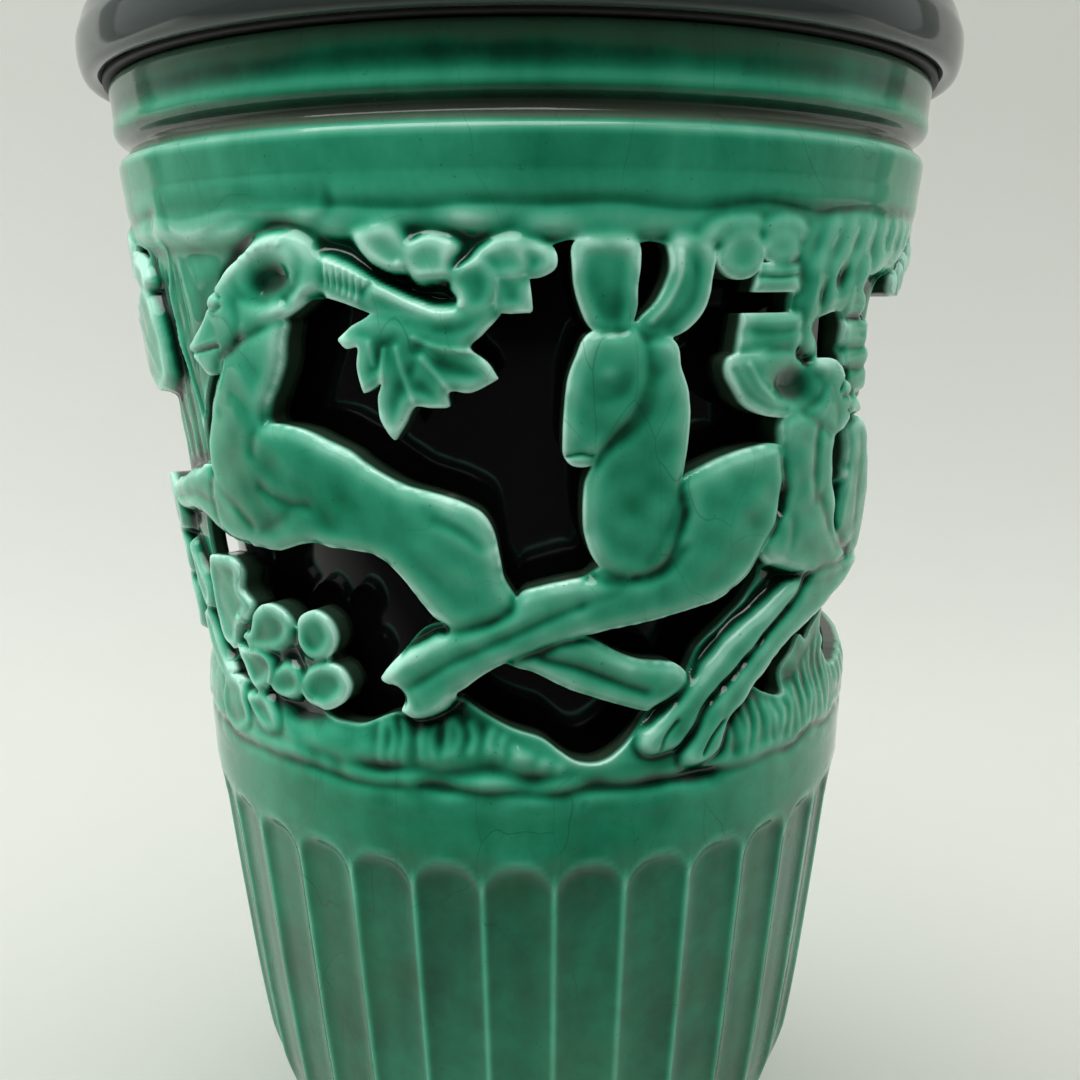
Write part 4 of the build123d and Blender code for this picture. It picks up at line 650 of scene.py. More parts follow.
# ---- sleeve mesh: one closed sheet whose rows run once round the wall's cross-section ---------------------------
WALL_OUT = [(55.5, 1.5), (57, 2), (57.5, 3.5), (57.5, 8), (57.4, 12), (56.6, 13.8), (55.2, 14.8), (53.9, 16.4),
            (53.5, 18.5), (55, 21), (59, 26), (63, 30.4), (66.5, 35.2), (69.6, 40.6), (72, 47), (74, 53.4),
            (75.2, 59.3), (77.4, 76.8), (79.2, 94.3), (80.9, 111.8), (82.4, 128), (83, 132.7), (83.7, 137),
            (83.9, 146)]
FRIEZE_SIDE = [(84, 146), (84.6, 166), (86.4, 184), (89.2, 206), (92.4, 236), (94.5, 262), (94.9, 272)]
TOP_OUT = [(95, 272.5), (95.5, 276.5), (95.6, 278.3), (95.3, 279.4), (94.5, 280.2), (93.6, 281), (93.1, 282),
           (93.2, 282.9), (94, 283.7), (95.2, 284.4), (96, 285.4), (96.2, 286.6), (96, 288.6), (96.2, 292),
           (96.5, 293.8), (96.4, 294.8), (95.9, 295.6), (94.8, 295.95), (93.4, 296)]
INNER_WALL = 6.5  # how thick the wall is at the frieze
TURNED, FRIEZE, BEHIND = 0, 1, 2  # kinds of row: plain, the frieze's face, and the wall's inner face behind it
COLUMNS = 2 * HALF_COLUMNS


def follow(points, spacing):
    """Points along a smooth open line, evenly spaced."""
    pts = np.array(points, float)
    ext = np.vstack([2 * pts[:1] - pts[1:2], pts, 2 * pts[-1:] - pts[-2:-1]])
    line = []
    for i in range(1, len(ext) - 2):
        p0, p1, p2, p3 = ext[i - 1:i + 3]
        u = (np.arange(12) / 12)[:, None]
        line.append(0.5 * (2 * p1 + (p2 - p0) * u + (2 * p0 - 5 * p1 + 4 * p2 - p3) * u ** 2
                           + (3 * p1 - p0 - 3 * p2 + p3) * u ** 3))
    line = np.vstack(line + [pts[-1:]])
    run = np.concatenate([[0], np.cumsum(np.hypot(*np.diff(line, axis=0).T))])
    count = max(2, int(round(run[-1] / spacing)) + 1)
    at = np.linspace(0, run[-1], count)
    return np.stack([np.interp(at, run, line[:, 0]), np.interp(at, run, line[:, 1])], axis=1)


def frieze_radius(level):
    line = follow(FRIEZE_SIDE, 1.0)
    return np.interp(level, line[:, 1], line[:, 0])


frieze_levels = DATUM + GRID_H[:, 0]
FLUTES = 34
RIDGE = 4.5  # degrees round from the front to one ridge between flutes
FLUTE_DEEP = 1.45
ARCH_TOP, ARCH_TALL = 135.0, 9.0  # the round heads of the flutes
coarse = 1.0
angle = np.radians(FIRST + 360.0 * np.arange(COLUMNS) / COLUMNS)


def flutes_at(levels):
    """How far the flutes are hollowed at each level and column, and the glaze tone there."""
    across = (np.degrees(angle) - RIDGE) / (360.0 / FLUTES)
    u = np.abs(2 * (across - np.floor(across)) - 1)[None, :]
    level = levels[:, None]
    arch = ARCH_TOP - ARCH_TALL * (1 - np.sqrt(np.maximum(1 - np.minimum(u, 0.995) ** 2.4, 0)))
    above_foot = smooth_step(level, 40.0, 56.0)
    reach = smooth_step(arch - level, -0.8, 4.2) * above_foot
    dip = -FLUTE_DEEP * (1 - u ** 3.4) * reach
    ridge = np.exp(-((1 - u) / 0.085) ** 2) * smooth_step(131.0 - level, -3.0, 3.0) * above_foot
    brow = np.exp(-((level - arch - 0.2) / 1.1) ** 2) * (1 - 0.5 * u)
    return dip + 0.25 * brow, 0.95 * ridge + 0.5 * brow - 0.22 * reach


def sheet_rows():
    """The sheet's rows: radii over the columns, level, kind, distance to the openings, glaze tone with painted
    shade.
    """
    rows = []

    def turned(radius, level, tone=0.0):
        rows.append((radius + np.zeros(COLUMNS), level, TURNED, np.full(COLUMNS, FAR), tone + np.zeros(COLUMNS)))

    lower = follow(WALL_OUT, 1.3 * coarse)
    lower = lower[lower[:, 1] < frieze_levels[0] - 0.2]
    for (radius, level), dip, tone in zip(lower, *flutes_at(lower[:, 1])):
        turned(radius + dip, level, tone)
    for i, level in enumerate(frieze_levels):
        rows.append((frieze_radius(level) + np.tile(depth[i], 2), level, FRIEZE, np.tile(solid[i], 2),
                     np.tile(pooling_and_shade[i], 2)))
    for radius, level in follow(TOP_OUT, 0.7 * coarse):
        # Painted shade in the groove at 283 mm and painted shadow of the rim across the band at 290.5 mm; the
        # lighter lines on the lips at 279 and 286.6 mm are partly thin glaze, partly painted highlight.
        tone = -1.1 * math.exp(-((level - 283.0) / 1.9) ** 2) + 0.9 * math.exp(-((level - 279.0) / 0.9) ** 2)
        tone += 0.35 * math.exp(-((level - 286.6) / 1.3) ** 2) - 0.55 * math.exp(-((level - 290.5) / 2.4) ** 2)
        turned(radius, level, tone)
    mouth = [(91.0, 296.0), (89.2, 295.4), (88.5, 294.2), (88.5, 288.0), (88.5, 281.0), (88.3, 278.0),
             (frieze_radius(273.0) - INNER_WALL, 273.0)]
    for radius, level in mouth:
        turned(radius, level)
    for i, level in reversed(list(enumerate(frieze_levels))):
        rows.append((np.full(COLUMNS, frieze_radius(level) - INNER_WALL), level, BEHIND, np.tile(solid[i], 2),
                     np.zeros(COLUMNS)))
    inner = [(77.6, 141), (77.2, 133), (75.2, 112), (73.6, 94), (71.8, 77), (69.4, 62), (66, 50), (61.4, 40),
             (56.6, 33.6), (52, 30.6), (46, 30), (26, 30), (6.6, 30), (5.7, 29.4), (5.6, 27), (5.7, 24.5),
             (6.6, 24), (24, 24), (42, 24), (44, 23), (44.6, 18), (45.4, 9), (46, 2.4), (46.6, 1.6), (51, 1.5)]
    for radius, level in inner:
        turned(radius, level)
    return rows


def build_sleeve():
    """The sleeve's points with their three tones, and its faces: marching squares leave the openings out."""
    rows = sheet_rows()
    kind = np.array([r[2] for r in rows])
    radii = np.stack([r[0] for r in rows])
    level = np.array([r[1] for r in rows])[:, None] + 0 * radii
    place = np.stack([radii * np.sin(angle), -radii * np.cos(angle), level], axis=-1)
    field = np.stack([r[3] for r in rows])
    tone = np.stack([r[4] for r in rows])
    edge = np.exp(-(np.maximum(field, 0) / 0.50) ** 2)
    least = 0.06 * STEP  # keeps every crossing a little away from the grid's own points
    field = np.where(np.abs(field) < least, np.where(field < 0, -least, least), field)
    keep = field > 0
    behind = (kind[:, None] == BEHIND) + 0 * tone
    data = np.concatenate([place, tone[..., None], edge[..., None], behind[..., None]], axis=-1)
    # The numbers of a frieze row and of the row behind it add up to this.
    both_ends = int(np.argmax(kind == FRIEZE)) + int(np.nonzero(kind == BEHIND)[0][-1])

    corner = np.full(field.shape, -1)
    corner[keep] = np.arange(keep.sum())
    table = [data[keep]]
    total = int(keep.sum())

    def crossings(shift):
        nonlocal total
        other = np.roll(field, -1, axis=shift)
        cross = (field > 0) != (other > 0)
        t = field[cross] / (field[cross] - other[cross])
        a, b = data[cross], np.roll(data, -1, axis=shift)[cross]
        mixed = a + (b - a) * t[:, None]
        ids = np.full(field.shape, -1)
        ids[cross] = total + np.arange(len(mixed))
        table.append(mixed)
        total += len(mixed)
        return ids

    along = crossings(1)  # between (r, c) and (r, c + 1)
    up = crossings(0)  # between (r, c) and (r + 1, c)
    a, b = keep, np.roll(keep, -1, 1)
    d, c = np.roll(keep, -1, 0), np.roll(np.roll(keep, -1, 0), -1, 1)
    whole = 15
    case = a + 2 * b + 4 * c + 8 * d
    tokens = [corner, along, np.roll(corner, -1, 1), np.roll(up, -1, 1), np.roll(np.roll(corner, -1, 0), -1, 1),
              np.roll(along, -1, 0), np.roll(corner, -1, 0), up]
    faces, rims = [], []
    for number in range(1, whole + 1):
        here = np.nonzero(case == number)
        if not len(here[0]):
            continue
        bits = [bool(number >> k & 1) for k in range(4)]
        ring = []
        for k in range(4):
            if bits[k]:
                ring.append(2 * k)
            if bits[k] != bits[(k + 1) % 4]:
                ring.append(2 * k + 1)
        faces.append(np.stack([tokens[k][here] for k in ring], axis=1))
        for k, following in zip(ring, ring[1:] + ring[:1]):
            if number != whole and k % 2 and following % 2:
                rims.append(np.stack([tokens[k][here], tokens[following][here], here[0]], axis=1))
    rims = np.vstack(rims)
    outer = rims[kind[rims[:, 2]] == FRIEZE]

    # Each crossing on the outer face has its partner on the inner face, on the mirrored row.
    pairs = {}
    for ids, back in ((along, 0), (up, 1)):
        for r, q in zip(*np.nonzero(ids >= 0)):
            if kind[r] == FRIEZE:
                pairs[ids[r, q]] = ids[both_ends - r - back, q]
    keys = np.array(sorted(pairs))
    values = np.array([pairs[k] for k in keys])
    everything = np.vstack(table)
    loops = 3  # rows of faces across the wall's thickness
    lookup = np.full(total, -1)
    lookup[keys] = np.arange(len(keys))
    middle_ids = [keys]
    for k in range(1, loops):
        t = k / loops
        between = everything[keys] * (1 - t) + everything[values] * t
        between[:, 3] = -0.35 * t
        between[:, 4] = 1 - 0.75 * t
        table.append(between)
        middle_ids.append(total + np.arange(len(keys)))
        total += len(keys)
    middle_ids.append(values)
    p, q = lookup[outer[:, 0]], lookup[outer[:, 1]]
    for k in range(loops):
        near, far = middle_ids[k], middle_ids[k + 1]
        faces.append(np.stack([near[q], near[p], far[p], far[q]], axis=1))
    return np.vstack(table), faces


def make_mesh(name, points, faces, floats=None):
    """A mesh object from points in metres and arrays of faces, each array with one number of corners."""
    mesh = bpy.data.meshes.new(name)
    corners = np.concatenate([f.ravel() for f in faces]).astype(np.int32)
    sizes = np.concatenate([np.full(len(f), f.shape[1]) for f in faces]).astype(np.int32)
    mesh.vertices.add(len(points))
    mesh.vertices.foreach_set("co", np.ascontiguousarray(points, dtype=np.float32).ravel())
    mesh.loops.add(len(corners))
    mesh.loops.foreach_set("vertex_index", corners)
    mesh.polygons.add(len(sizes))
    starts = np.concatenate([[0], np.cumsum(sizes)[:-1]]).astype(np.int32)
    mesh.polygons.foreach_set("loop_start", starts)
    mesh.polygons.foreach_set("loop_total", sizes)
    mesh.polygons.foreach_set("use_smooth", np.ones(len(sizes), dtype=bool))
    mesh.update(calc_edges=True)
    for label, values in (floats or {}).items():
        layer = mesh.attributes.new(label, "FLOAT", "POINT")
        layer.data.foreach_set("value", np.ascontiguousarray(values, dtype=np.float32))
    mesh.validate()
    obj = bpy.data.objects.new(name, mesh)
    bpy.context.scene.collection.objects.link(obj)
    return obj


sheet, sheet_faces = build_sleeve()
sleeve = make_mesh("glazed_sleeve", sheet[:, :3] * MM, sheet_faces,
                   {"pooling_and_shade": sheet[:, 3], "rim": sheet[:, 4], "wall": sheet[:, 5]})

# ---- other turned pieces ----------------------------------------------------------------------------------------
def lathe(name, line, segments):
    """A piece turned about the lamp's axis from (radius, level) points in millimetres, going round its section."""
    line = np.array(line)
    turn = 2 * np.pi * np.arange(segments) / segments
    pts = np.stack([line[:, 0, None] * np.sin(turn), -line[:, 0, None] * np.cos(turn),
                    line[:, 1, None] + 0 * turn], axis=-1)
    ids = np.arange(len(line) * segments).reshape(len(line), segments)
    after = np.roll(ids, -1, axis=0)
    quads = np.stack([ids, np.roll(ids, -1, 1), np.roll(after, -1, 1), after], axis=-1)
    return make_mesh(name, pts.reshape(-1, 3) * MM, [quads.reshape(-1, 4)])


BOWL_SIDE = [(72, 152), (72.6, 166), (77, 205), (80.4, 235), (82.6, 266), (83.1, 277)]
bowl_line = np.vstack([
    follow([(36, 140), (48, 140.8), (62, 142), (66.4, 143.2), (69.8, 146), (71.6, 149.6)]
           + BOWL_SIDE + [(85.2, 279.6), (87.8, 281.4), (88.2, 283), (88.2, 290), (88.2, 296.8)], 1.6),
    [(88.6, 297.3), (90, 297.4), (94, 297.4)],
    follow([(97.4, 297.4), (98.3, 296.9), (99.2, 296.5), (100.2, 296.5), (101.1, 297), (101.7, 298.2),
            (102.2, 300.2), (102.35, 302.4), (102.2, 304.6), (101.5, 306.6), (100.2, 309.8), (97.6, 313.2),
            (94, 315.3), (90, 316), (86.4, 315.2), (83.2, 312.6), (81, 308.8), (79.9, 304), (79.4, 296),
            (79.2, 286), (79, 277)], 0.6),
    follow([(r - 4.0, z) for r, z in reversed(BOWL_SIDE)][1:] + [(67.4, 149.8), (65.2, 147.4), (61, 146),
                                                                 (48, 144.8), (37.4, 144.6)], 1.6),
    [(35.8, 143.9), (35, 142.4), (35.2, 140.8)],
])
bowl = lathe("rolled_rim_bowl", bowl_line, 384)
gasket = lathe("rim_gasket", follow([(88.7, 296.1), (88.7, 297.2), (89, 297.35), (93, 297.38), (97.2, 297.35),
                                     (97.5, 297.1), (97.6, 296.7), (97.5, 296.3), (97.1, 296.05), (93, 296.02),
                                     (89, 296.05)], 0.5)[::-1], 256)


# ---- materials --------------------------------------------------------------------------------------------------
class Nodes:
    """Short calls for building the nodes of a material or of the world."""

    def __init__(self, owner):
        self.owner = owner
        owner.use_nodes = True
        self.tree = owner.node_tree
        self.tree.nodes.clear()

    def add(self, kind, inputs=None, **settings):
        node = self.tree.nodes.new(kind)
        for key, value in settings.items():
            setattr(node, key, value)
        for key, value in (inputs or {}).items():
            self.put(node, key, value)
        return node

    def put(self, node, key, value):
        socket = node.inputs[key]
        if isinstance(value, bpy.types.NodeSocket):
            self.tree.links.new(value, socket)
        else:
            socket.default_value = value

    def maths(self, operation, a, b=0.0, c=0.0, clamp=False):
        node = self.add("ShaderNodeMath", {0: a, 1: b, 2: c}, operation=operation, use_clamp=clamp)
        return node.outputs[0]

    def noise(self, scale, detail, rough, vector, distortion=0.0):
        return self.add("ShaderNodeTexNoise", {"Scale": scale, "Detail": detail, "Roughness": rough,
                                               "Distortion": distortion, "Vector": vector}).outputs["Fac"]

    def ramp(self, value, stops):
        node = self.add("ShaderNodeValToRGB", {"Fac": value})
        ramp = node.color_ramp
        while len(ramp.elements) < len(stops):
            ramp.elements.new(0.5)
        for element, (at, colour) in zip(ramp.elements, stops):
            element.position = at
            element.color = (*colour, 1.0) if not isinstance(colour, float) else (colour, colour, colour, 1.0)
        return node.outputs["Color"]

    def mix(self, factor, a, b):
        a, b = (v if isinstance(v, bpy.types.NodeSocket) else (*v, 1.0) for v in (a, b))
        return self.add("ShaderNodeMix", {0: factor, 6: a, 7: b}, data_type="RGBA").outputs[2]

    def bump(self, height, strength, distance, normal=None):
        inputs = {"Height": height, "Strength": strength, "Distance": distance}
        if normal is not None:
            inputs["Normal"] = normal
        return self.add("ShaderNodeBump", inputs).outputs["Normal"]

    def span(self, value, low, high):
        return self.add("ShaderNodeMapRange", {"Value": value, "From Min": low, "From Max": high},
                        interpolation_type="SMOOTHSTEP").outputs[0]

    def stretch(self, vector, factors):
        return self.add("ShaderNodeVectorMath", {0: vector, 1: factors}, operation="MULTIPLY").outputs[0]

    def warp(self, vector, scale, amount):
        wobble = self.add("ShaderNodeTexNoise", {"Vector": vector, "Scale": scale}).outputs["Color"]
        return self.add("ShaderNodeVectorMath", {0: wobble, 1: (amount,) * 3, 2: vector},
                        operation="MULTIPLY_ADD").outputs[0]

    def finish(self, **inputs):
        shader = self.add("ShaderNodeBsdfPrincipled")
        for key, value in inputs.items():
            self.put(shader, key.replace("_", " "), value)
        self.add("ShaderNodeOutputMaterial", {0: shader.outputs[0]})
        return self.owner


def material(name):
    """A new material's nodes, and the object's own coordinates."""
    n = Nodes(bpy.data.materials.new(name))
    return n, n.add("ShaderNodeTexCoord").outputs["Object"]


def height_of(n, place):
    return n.add("ShaderNodeSeparateXYZ", {"Vector": place}).outputs["Z"]


def green_glaze():
    """Translucent green glaze: pale where it runs thin over edges, dark where it pools, with painted shade
    deepening the hollows.
    """
    n, place = material("green_glaze")
    pooling_and_shade, rim, wall = (n.add("ShaderNodeAttribute", attribute_name=label).outputs["Fac"]
                         for label in ("pooling_and_shade", "rim", "wall"))
    level = height_of(n, place)
    upright = n.stretch(place, (1.0, 1.0, 0.22))
    broad = n.noise(22.0, 3.0, 0.5, place)
    streaks = n.noise(75.0, 3.0, 0.55, upright)
    mottle = n.noise(160.0, 5.0, 0.6, place)
    speck = n.noise(900.0, 2.0, 0.5, place)
    # Hollows darker: glaze pooling together with painted shade.
    tone = n.maths("MULTIPLY_ADD", pooling_and_shade, 0.38, 0.435)
    tone = n.maths("MULTIPLY_ADD", n.span(level, 0.165, 0.140), -0.03, tone)
    for pattern, amount in ((broad, 0.34), (streaks, 0.24), (mottle, 0.16)):
        tone = n.maths("MULTIPLY_ADD", n.maths("SUBTRACT", pattern, 0.5), amount, tone)
    tone = n.maths("MULTIPLY_ADD", rim, 0.32, tone, clamp=True)
    colour = n.ramp(tone, [(0.0, (0.0008, 0.010, 0.005)), (0.20, (0.004, 0.060, 0.031)),
                           (0.38, (0.012, 0.215, 0.110)), (0.54, (0.042, 0.372, 0.215)),
                           (0.74, (0.150, 0.520, 0.350)), (1.0, (0.50, 0.88, 0.72))])
    flutes = n.maths("SUBTRACT", 1.0, n.span(level, 0.125, 0.160))
    stain = n.ramp(n.noise(26.0, 5.0, 0.62, place, 0.6), [(0.42, 0.0), (0.68, 1.0)])
    amount = n.maths("MULTIPLY", n.maths("MULTIPLY_ADD", flutes, 0.34, 0.08), stain)
    colour = n.mix(amount, colour, (0.042, 0.115, 0.048))
    ragged = n.maths("MULTIPLY_ADD", n.noise(38.0, 2.0, 0.5, place), 0.006, level)
    crown = n.maths("MULTIPLY", n.span(ragged, 0.2935, 0.2965), 0.75)
    colour = n.mix(crown, colour, (0.060, 0.105, 0.066))
    groove = n.maths("MULTIPLY", n.span(level, 0.2796, 0.2806), n.span(level, 0.2836, 0.2822))
    colour = n.mix(n.maths("MULTIPLY", groove, 0.62), colour, (0.150, 0.165, 0.125))
    cracks = n.add("ShaderNodeTexVoronoi", {"Vector": n.warp(n.stretch(place, (1.0, 1.0, 0.42)), 60.0, 0.012),
                                            "Scale": 66.0}, feature="DISTANCE_TO_EDGE")
    line = n.maths("SUBTRACT", 1.0, n.maths("DIVIDE", cracks.outputs["Distance"], 0.0075, clamp=True))
    patch = n.ramp(n.noise(30.0, 2.0, 0.5, place), [(0.46, 0.0), (0.62, 1.0)])
    crazed = n.maths("MULTIPLY", n.maths("MULTIPLY", line, patch), 0.42)
    colour = n.mix(crazed, colour, (0.004, 0.05, 0.028))
    pits = n.ramp(speck, [(0.70, 0.0), (0.76, 1.0)])
    colour = n.mix(n.maths("MULTIPLY", pits, 0.4), colour, (0.002, 0.03, 0.016))
    inside_tone = n.mix(mottle, (0.014, 0.050, 0.030), (0.040, 0.060, 0.036))
    colour = n.mix(n.span(wall, 0.06, 0.34), colour, inside_tone)
    rough = n.maths("MULTIPLY_ADD", n.noise(70.0, 4.0, 0.6, place), 0.10, 0.05)
    relief = n.bump(n.noise(120.0, 3.0, 0.5, place), 0.10, 0.0006)
    relief = n.bump(mottle, 0.08, 0.0004, relief)
    relief = n.bump(crazed, -0.12, 0.0002, relief)
    return n.finish(Base_Color=colour, Roughness=rough, IOR=1.50, Normal=relief)


def black_glaze():
    """Near-black glaze, with a painted reflection that makes it greyer on the rolled rim, and a little dust."""
    n, place = material("black_glaze")
    dust = n.ramp(n.noise(420.0, 6.0, 0.7, place), [(0.60, 0.0), (0.78, 1.0)])
    smear = n.noise(18.0, 4.0, 0.6, place, 0.8)
    # The rolled rim's grey is a painted reflection of the pale surroundings; lower down the glaze is near black.
    high = n.span(height_of(n, place), 0.285, 0.297)
    body = n.mix(high, (0.0035, 0.0035, 0.0042), (0.042, 0.054, 0.052))
    colour = n.mix(n.maths("MULTIPLY", dust, 0.10), body, (0.09, 0.085, 0.08))
    rough = n.maths("MULTIPLY_ADD", smear, 0.12, 0.03)
    relief = n.bump(n.noise(36.0, 2.0, 0.5, place), 0.08, 0.002)
    return n.finish(Base_Color=colour, Roughness=rough, IOR=1.52, Normal=relief)


def plain(name, colour, darker, rough, metal=0.0, scale=80.0, bump=0.08, **more):
    """A simple worn surface: two tones, uneven roughness and a fine bump."""
    n, place = material(name)
    grain = n.noise(scale, 5.0, 0.6, place)
    wear = n.ramp(n.noise(scale * 0.3, 3.0, 0.5, place), [(0.35, 0.0), (0.7, 1.0)])
    tone = n.mix(n.maths("MULTIPLY_ADD", grain, 0.6, n.maths("MULTIPLY", wear, 0.4), clamp=True), colour, darker)
    uneven = n.maths("MULTIPLY_ADD", grain, 0.12, rough, clamp=True)
    relief = n.bump(n.noise(scale * 6, 3.0, 0.5, place), bump, 0.0004)
    return n.finish(Base_Color=tone, Roughness=uneven, Metallic=metal, Normal=relief, **more)


MATERIALS = {"green_glaze": green_glaze(), "black_glaze": black_glaze()}
for label, colour, darker, rough, more in (
    ("black_rubber", (0.012, 0.012, 0.012), (0.03, 0.028, 0.026), 0.55, {}),
    ("green_felt", (0.02, 0.10, 0.045), (0.012, 0.06, 0.028), 0.85, {"bump": 0.6, "scale": 400.0}),
    ("plated_steel", (0.55, 0.53, 0.48), (0.36, 0.34, 0.30), 0.28, {"metal": 1.0}),
    ("brass", (0.74, 0.52, 0.22), (0.42, 0.27, 0.10), 0.25, {"metal": 1.0}),
    ("aluminium", (0.78, 0.78, 0.78), (0.55, 0.55, 0.54), 0.25, {"metal": 1.0}),
    ("fibre", (0.10, 0.065, 0.04), (0.06, 0.04, 0.025), 0.8, {}),
    ("phenolic", (0.03, 0.02, 0.016), (0.018, 0.012, 0.01), 0.35, {}),
    ("black_glass", (0.006, 0.006, 0.008), (0.02, 0.02, 0.022), 0.12, {}),
    ("frosted_glass", (0.88, 0.88, 0.85), (0.80, 0.80, 0.77), 0.30, {"Transmission_Weight": 0.35, "IOR": 1.45}),
    ("clear_glass", (0.90, 0.93, 0.93), (0.82, 0.86, 0.86), 0.05,
     {"Transmission_Weight": 0.9, "IOR": 1.45, "bump": 0.02}),
    ("tungsten", (0.25, 0.25, 0.27), (0.14, 0.14, 0.15), 0.4, {"metal": 1.0}),
    ("brown_cord", (0.060, 0.032, 0.018), (0.035, 0.018, 0.010), 0.38, {}),
    ("brown_plastic", (0.050, 0.022, 0.012), (0.030, 0.013, 0.008), 0.18, {}),
):
    MATERIALS[label] = plain(label, colour, darker, rough, **more)


def dress(obj, name):
    obj.data.materials.clear()
    obj.data.materials.append(MATERIALS[name])


replaced = set()
for piece, body, node, slot in ((sleeve, "lamp", "openwork_sleeve", "green_glaze"),
                                (bowl, "bowl", "inner_bowl", "black_glaze"),
                                (gasket, "lamp", "bowl_gasket", "black_rubber")):
    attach(piece, body)
    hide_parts(node)
    dress(piece, slot)
    replaced.add(node)
SLOT_OF = {entry["node"]: entry["material_slot"] for entry in frame["record"]["subparts"]}
UNBEVELLED = {"lamp_cord", "cord_leads", "bulb_envelope", "felt_ring", "bulb_filament"}
for node, obj in frame["nodes"].items():
    if node in replaced:
        continue
    dress(obj, SLOT_OF[node])
    if node not in UNBEVELLED:
        bevel = obj.modifiers.new("soft_edges", "BEVEL")
        bevel.width = 0.00015
        bevel.segments = 2
        bevel.limit_method = "ANGLE"
        bevel.angle_limit = math.radians(40)

# ---- stage, light and camera ------------------------------------------------------------------------------------
def backdrop():
    """A pale floor that curves up into a wall behind."""
    bend, floor_end, steps = 0.45, 0.35, 12
    section = [(-1.2, 0.0), (floor_end, 0.0)]
    for k in range(1, steps + 1):
        a = math.radians(90 * k / steps)
        section.append((floor_end + bend * math.sin(a), bend - bend * math.cos(a)))
    section += [(0.80, 1.0), (0.80, 2.0)]
    pts = np.array([(x, y, z) for y, z in section for x in (-2.2, 2.2)])
    faces = [[2 * i, 2 * i + 1, 2 * i + 3, 2 * i + 2] for i in range(len(section) - 1)]
    obj = make_mesh("backdrop", pts, [np.array(faces)])
    n, place = material("pale_backdrop")
    grain = n.noise(3.0, 3.0, 0.5, place)
    colour = n.mix(grain, (0.85, 0.865, 0.82), (0.80, 0.815, 0.76))
    # In reflections and bounced light the floor in front of the lamp is painted dark, standing in for a dim room;
    # the camera sees it pale.
    front = n.add("ShaderNodeMapRange", {"Value": n.add("ShaderNodeSeparateXYZ", {"Vector": place}).outputs["Y"],
                                         "From Min": -0.02, "From Max": -0.30}).outputs[0]
    path = n.add("ShaderNodeLightPath")
    seen = n.maths("MULTIPLY_ADD", path.outputs["Is Glossy Ray"], 0.45, 0.55)
    painted_dark_floor = n.maths("MULTIPLY", n.maths("SUBTRACT", 1.0, path.outputs["Is Camera Ray"]), seen)
    colour = n.mix(n.maths("MULTIPLY", painted_dark_floor, front), colour, (0.03, 0.03, 0.028))
    relief = n.bump(n.noise(300.0, 3.0, 0.5, place), 0.05, 0.0005)
    obj.data.materials.append(n.finish(Base_Color=colour, Roughness=0.9, Normal=relief))


def area(name, place, aim, wide, tall, power, colour=(1.0, 1.0, 1.0)):
    light = bpy.data.lights.new(name, "AREA")
    light.shape = "RECTANGLE"
    light.size = wide
    light.size_y = tall
    light.energy = power
    light.color = colour
    obj = bpy.data.objects.new(name, light)
    obj.location = place
    direction = np.array(aim) - np.array(place)
    yaw = math.atan2(direction[0], direction[1])
    flat = math.hypot(direction[0], direction[1])
    obj.rotation_euler = (math.atan2(flat, -direction[2]), 0.0, -yaw)
    bpy.context.scene.collection.objects.link(obj)
    return obj


def only_lights(light, *objs):
    """Restricts a light to a few pieces."""
    group = bpy.data.collections.new(light.name + "_pieces")
    for obj in objs:
        group.objects.link(obj)
    light.light_linking.receiver_collection = group


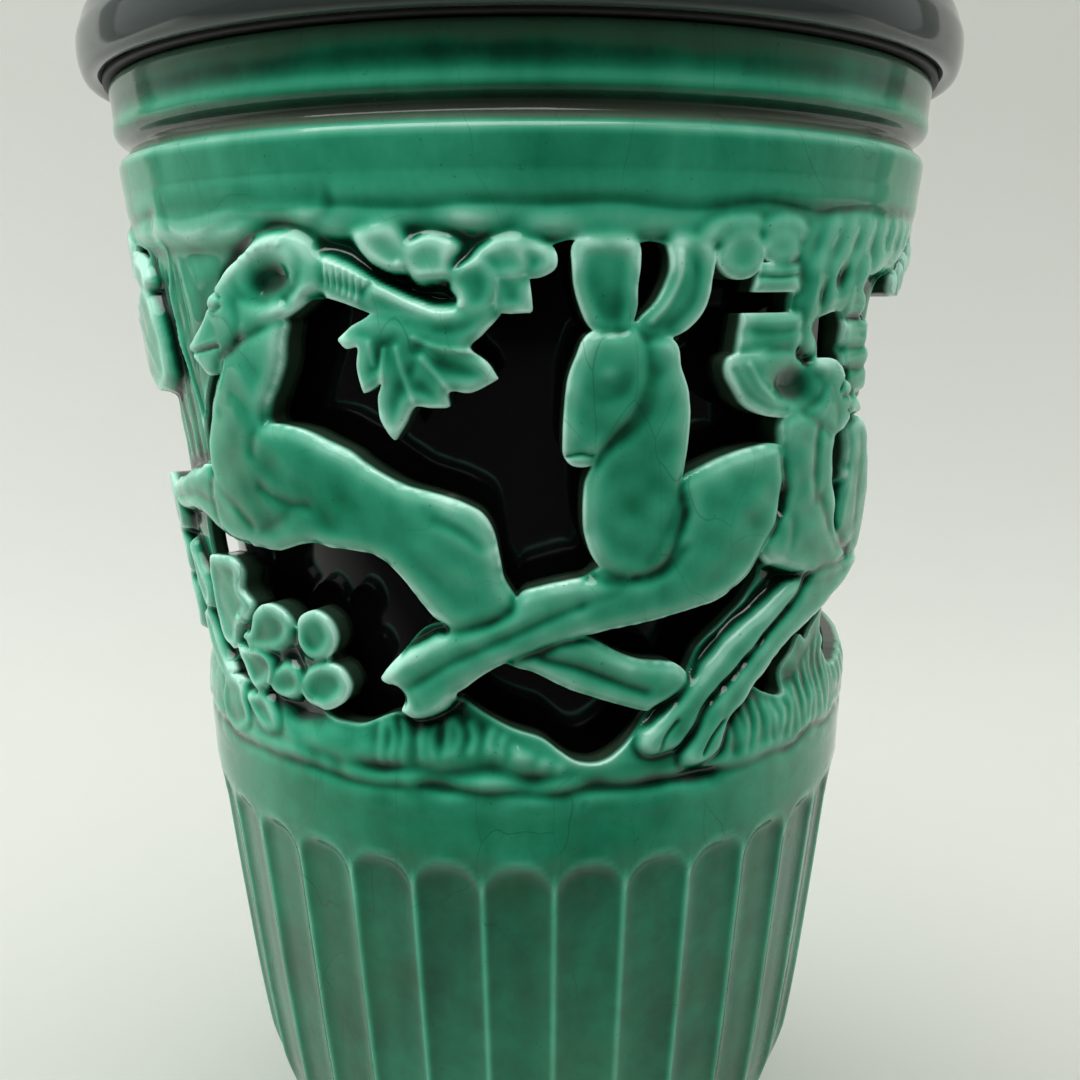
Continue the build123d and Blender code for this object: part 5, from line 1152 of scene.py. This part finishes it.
backdrop()
left = area("left_window", (-1.5, 0.35, 0.70), (0, 0, 0.2), 1.6, 1.6, 15.0, (0.97, 1.0, 1.0))
right = area("right_window", (1.5, 0.45, 0.65), (0, 0, 0.2), 1.6, 1.6, 10.5, (1.0, 0.99, 0.96))
left.visible_glossy = right.visible_glossy = False
area("overhead", (-0.1, -0.25, 1.5), (0, 0, 0.2), 1.8, 1.4, 12.0)
only_lights(area("top_window", (-0.25, -0.50, 1.2), (0, 0, 0.25), 1.3, 0.9, 13.0), sleeve, bowl)
only_lights(area("room_strip", (-0.34, -1.5, 0.45), (0, 0, 0.2), 0.10, 0.9, 1.0, (1.0, 0.93, 0.85)), bowl)
only_lights(area("room_lamp", (0.16, -1.7, 0.55), (0, 0, 0.2), 0.16, 0.7, 0.45, (1.0, 0.80, 0.70)), bowl)


def studio_world():
    """Bright behind and above, dim towards the camera, as in a small studio seen from inside."""
    n = Nodes(bpy.data.worlds.new("studio"))
    bpy.context.scene.world = n.owner
    way = n.add("ShaderNodeSeparateXYZ", {0: n.add("ShaderNodeTexCoord").outputs["Generated"]}).outputs
    back = n.add("ShaderNodeMapRange", {"Value": way["Y"], "From Min": -1.0}).outputs[0]
    colour = n.ramp(back, ((0.0, (0.055, 0.052, 0.050)), (0.28, (0.12, 0.12, 0.118)), (0.55, (0.50, 0.51, 0.50)),
                           (1.0, (0.86, 0.88, 0.85))))
    lift = n.add("ShaderNodeMapRange",
                 {"Value": way["Z"], "From Min": -0.2, "To Min": 0.70, "To Max": 1.50}).outputs[0]
    front = n.add("ShaderNodeMapRange", {"Value": way["Y"], "From Min": -0.20, "From Max": -0.75, "To Max": 0.95},
                  interpolation_type="SMOOTHSTEP").outputs[0]
    glossy = n.add("ShaderNodeLightPath").outputs["Is Glossy Ray"]
    strength = n.maths("MULTIPLY", lift, n.maths("SUBTRACT", 1.0, n.maths("MULTIPLY", glossy, front)))
    shade = n.add("ShaderNodeBackground", {"Color": colour, "Strength": strength})
    n.add("ShaderNodeOutputWorld", {0: shade.outputs[0]})


studio_world()

lens = bpy.data.cameras.new("view")
lens.lens = 36.83
lens.sensor_width = 36.0
lens.clip_start = 0.01
camera = bpy.data.objects.new("view", lens)
camera.location = (0.0038, -0.292, 0.252)
camera.rotation_mode = "XYZ"
PITCH, ROLL = math.radians(12.83), math.radians(-0.30)  # looking down, and tipped sideways
camera.matrix_world = (Matrix.Translation(camera.location) @ Matrix.Rotation(math.pi / 2 - PITCH, 4, "X")
                       @ Matrix.Rotation(ROLL, 4, "Z"))
bpy.context.scene.collection.objects.link(camera)
bpy.context.scene.camera = camera
bpy.context.scene.view_settings.view_transform = "Standard"
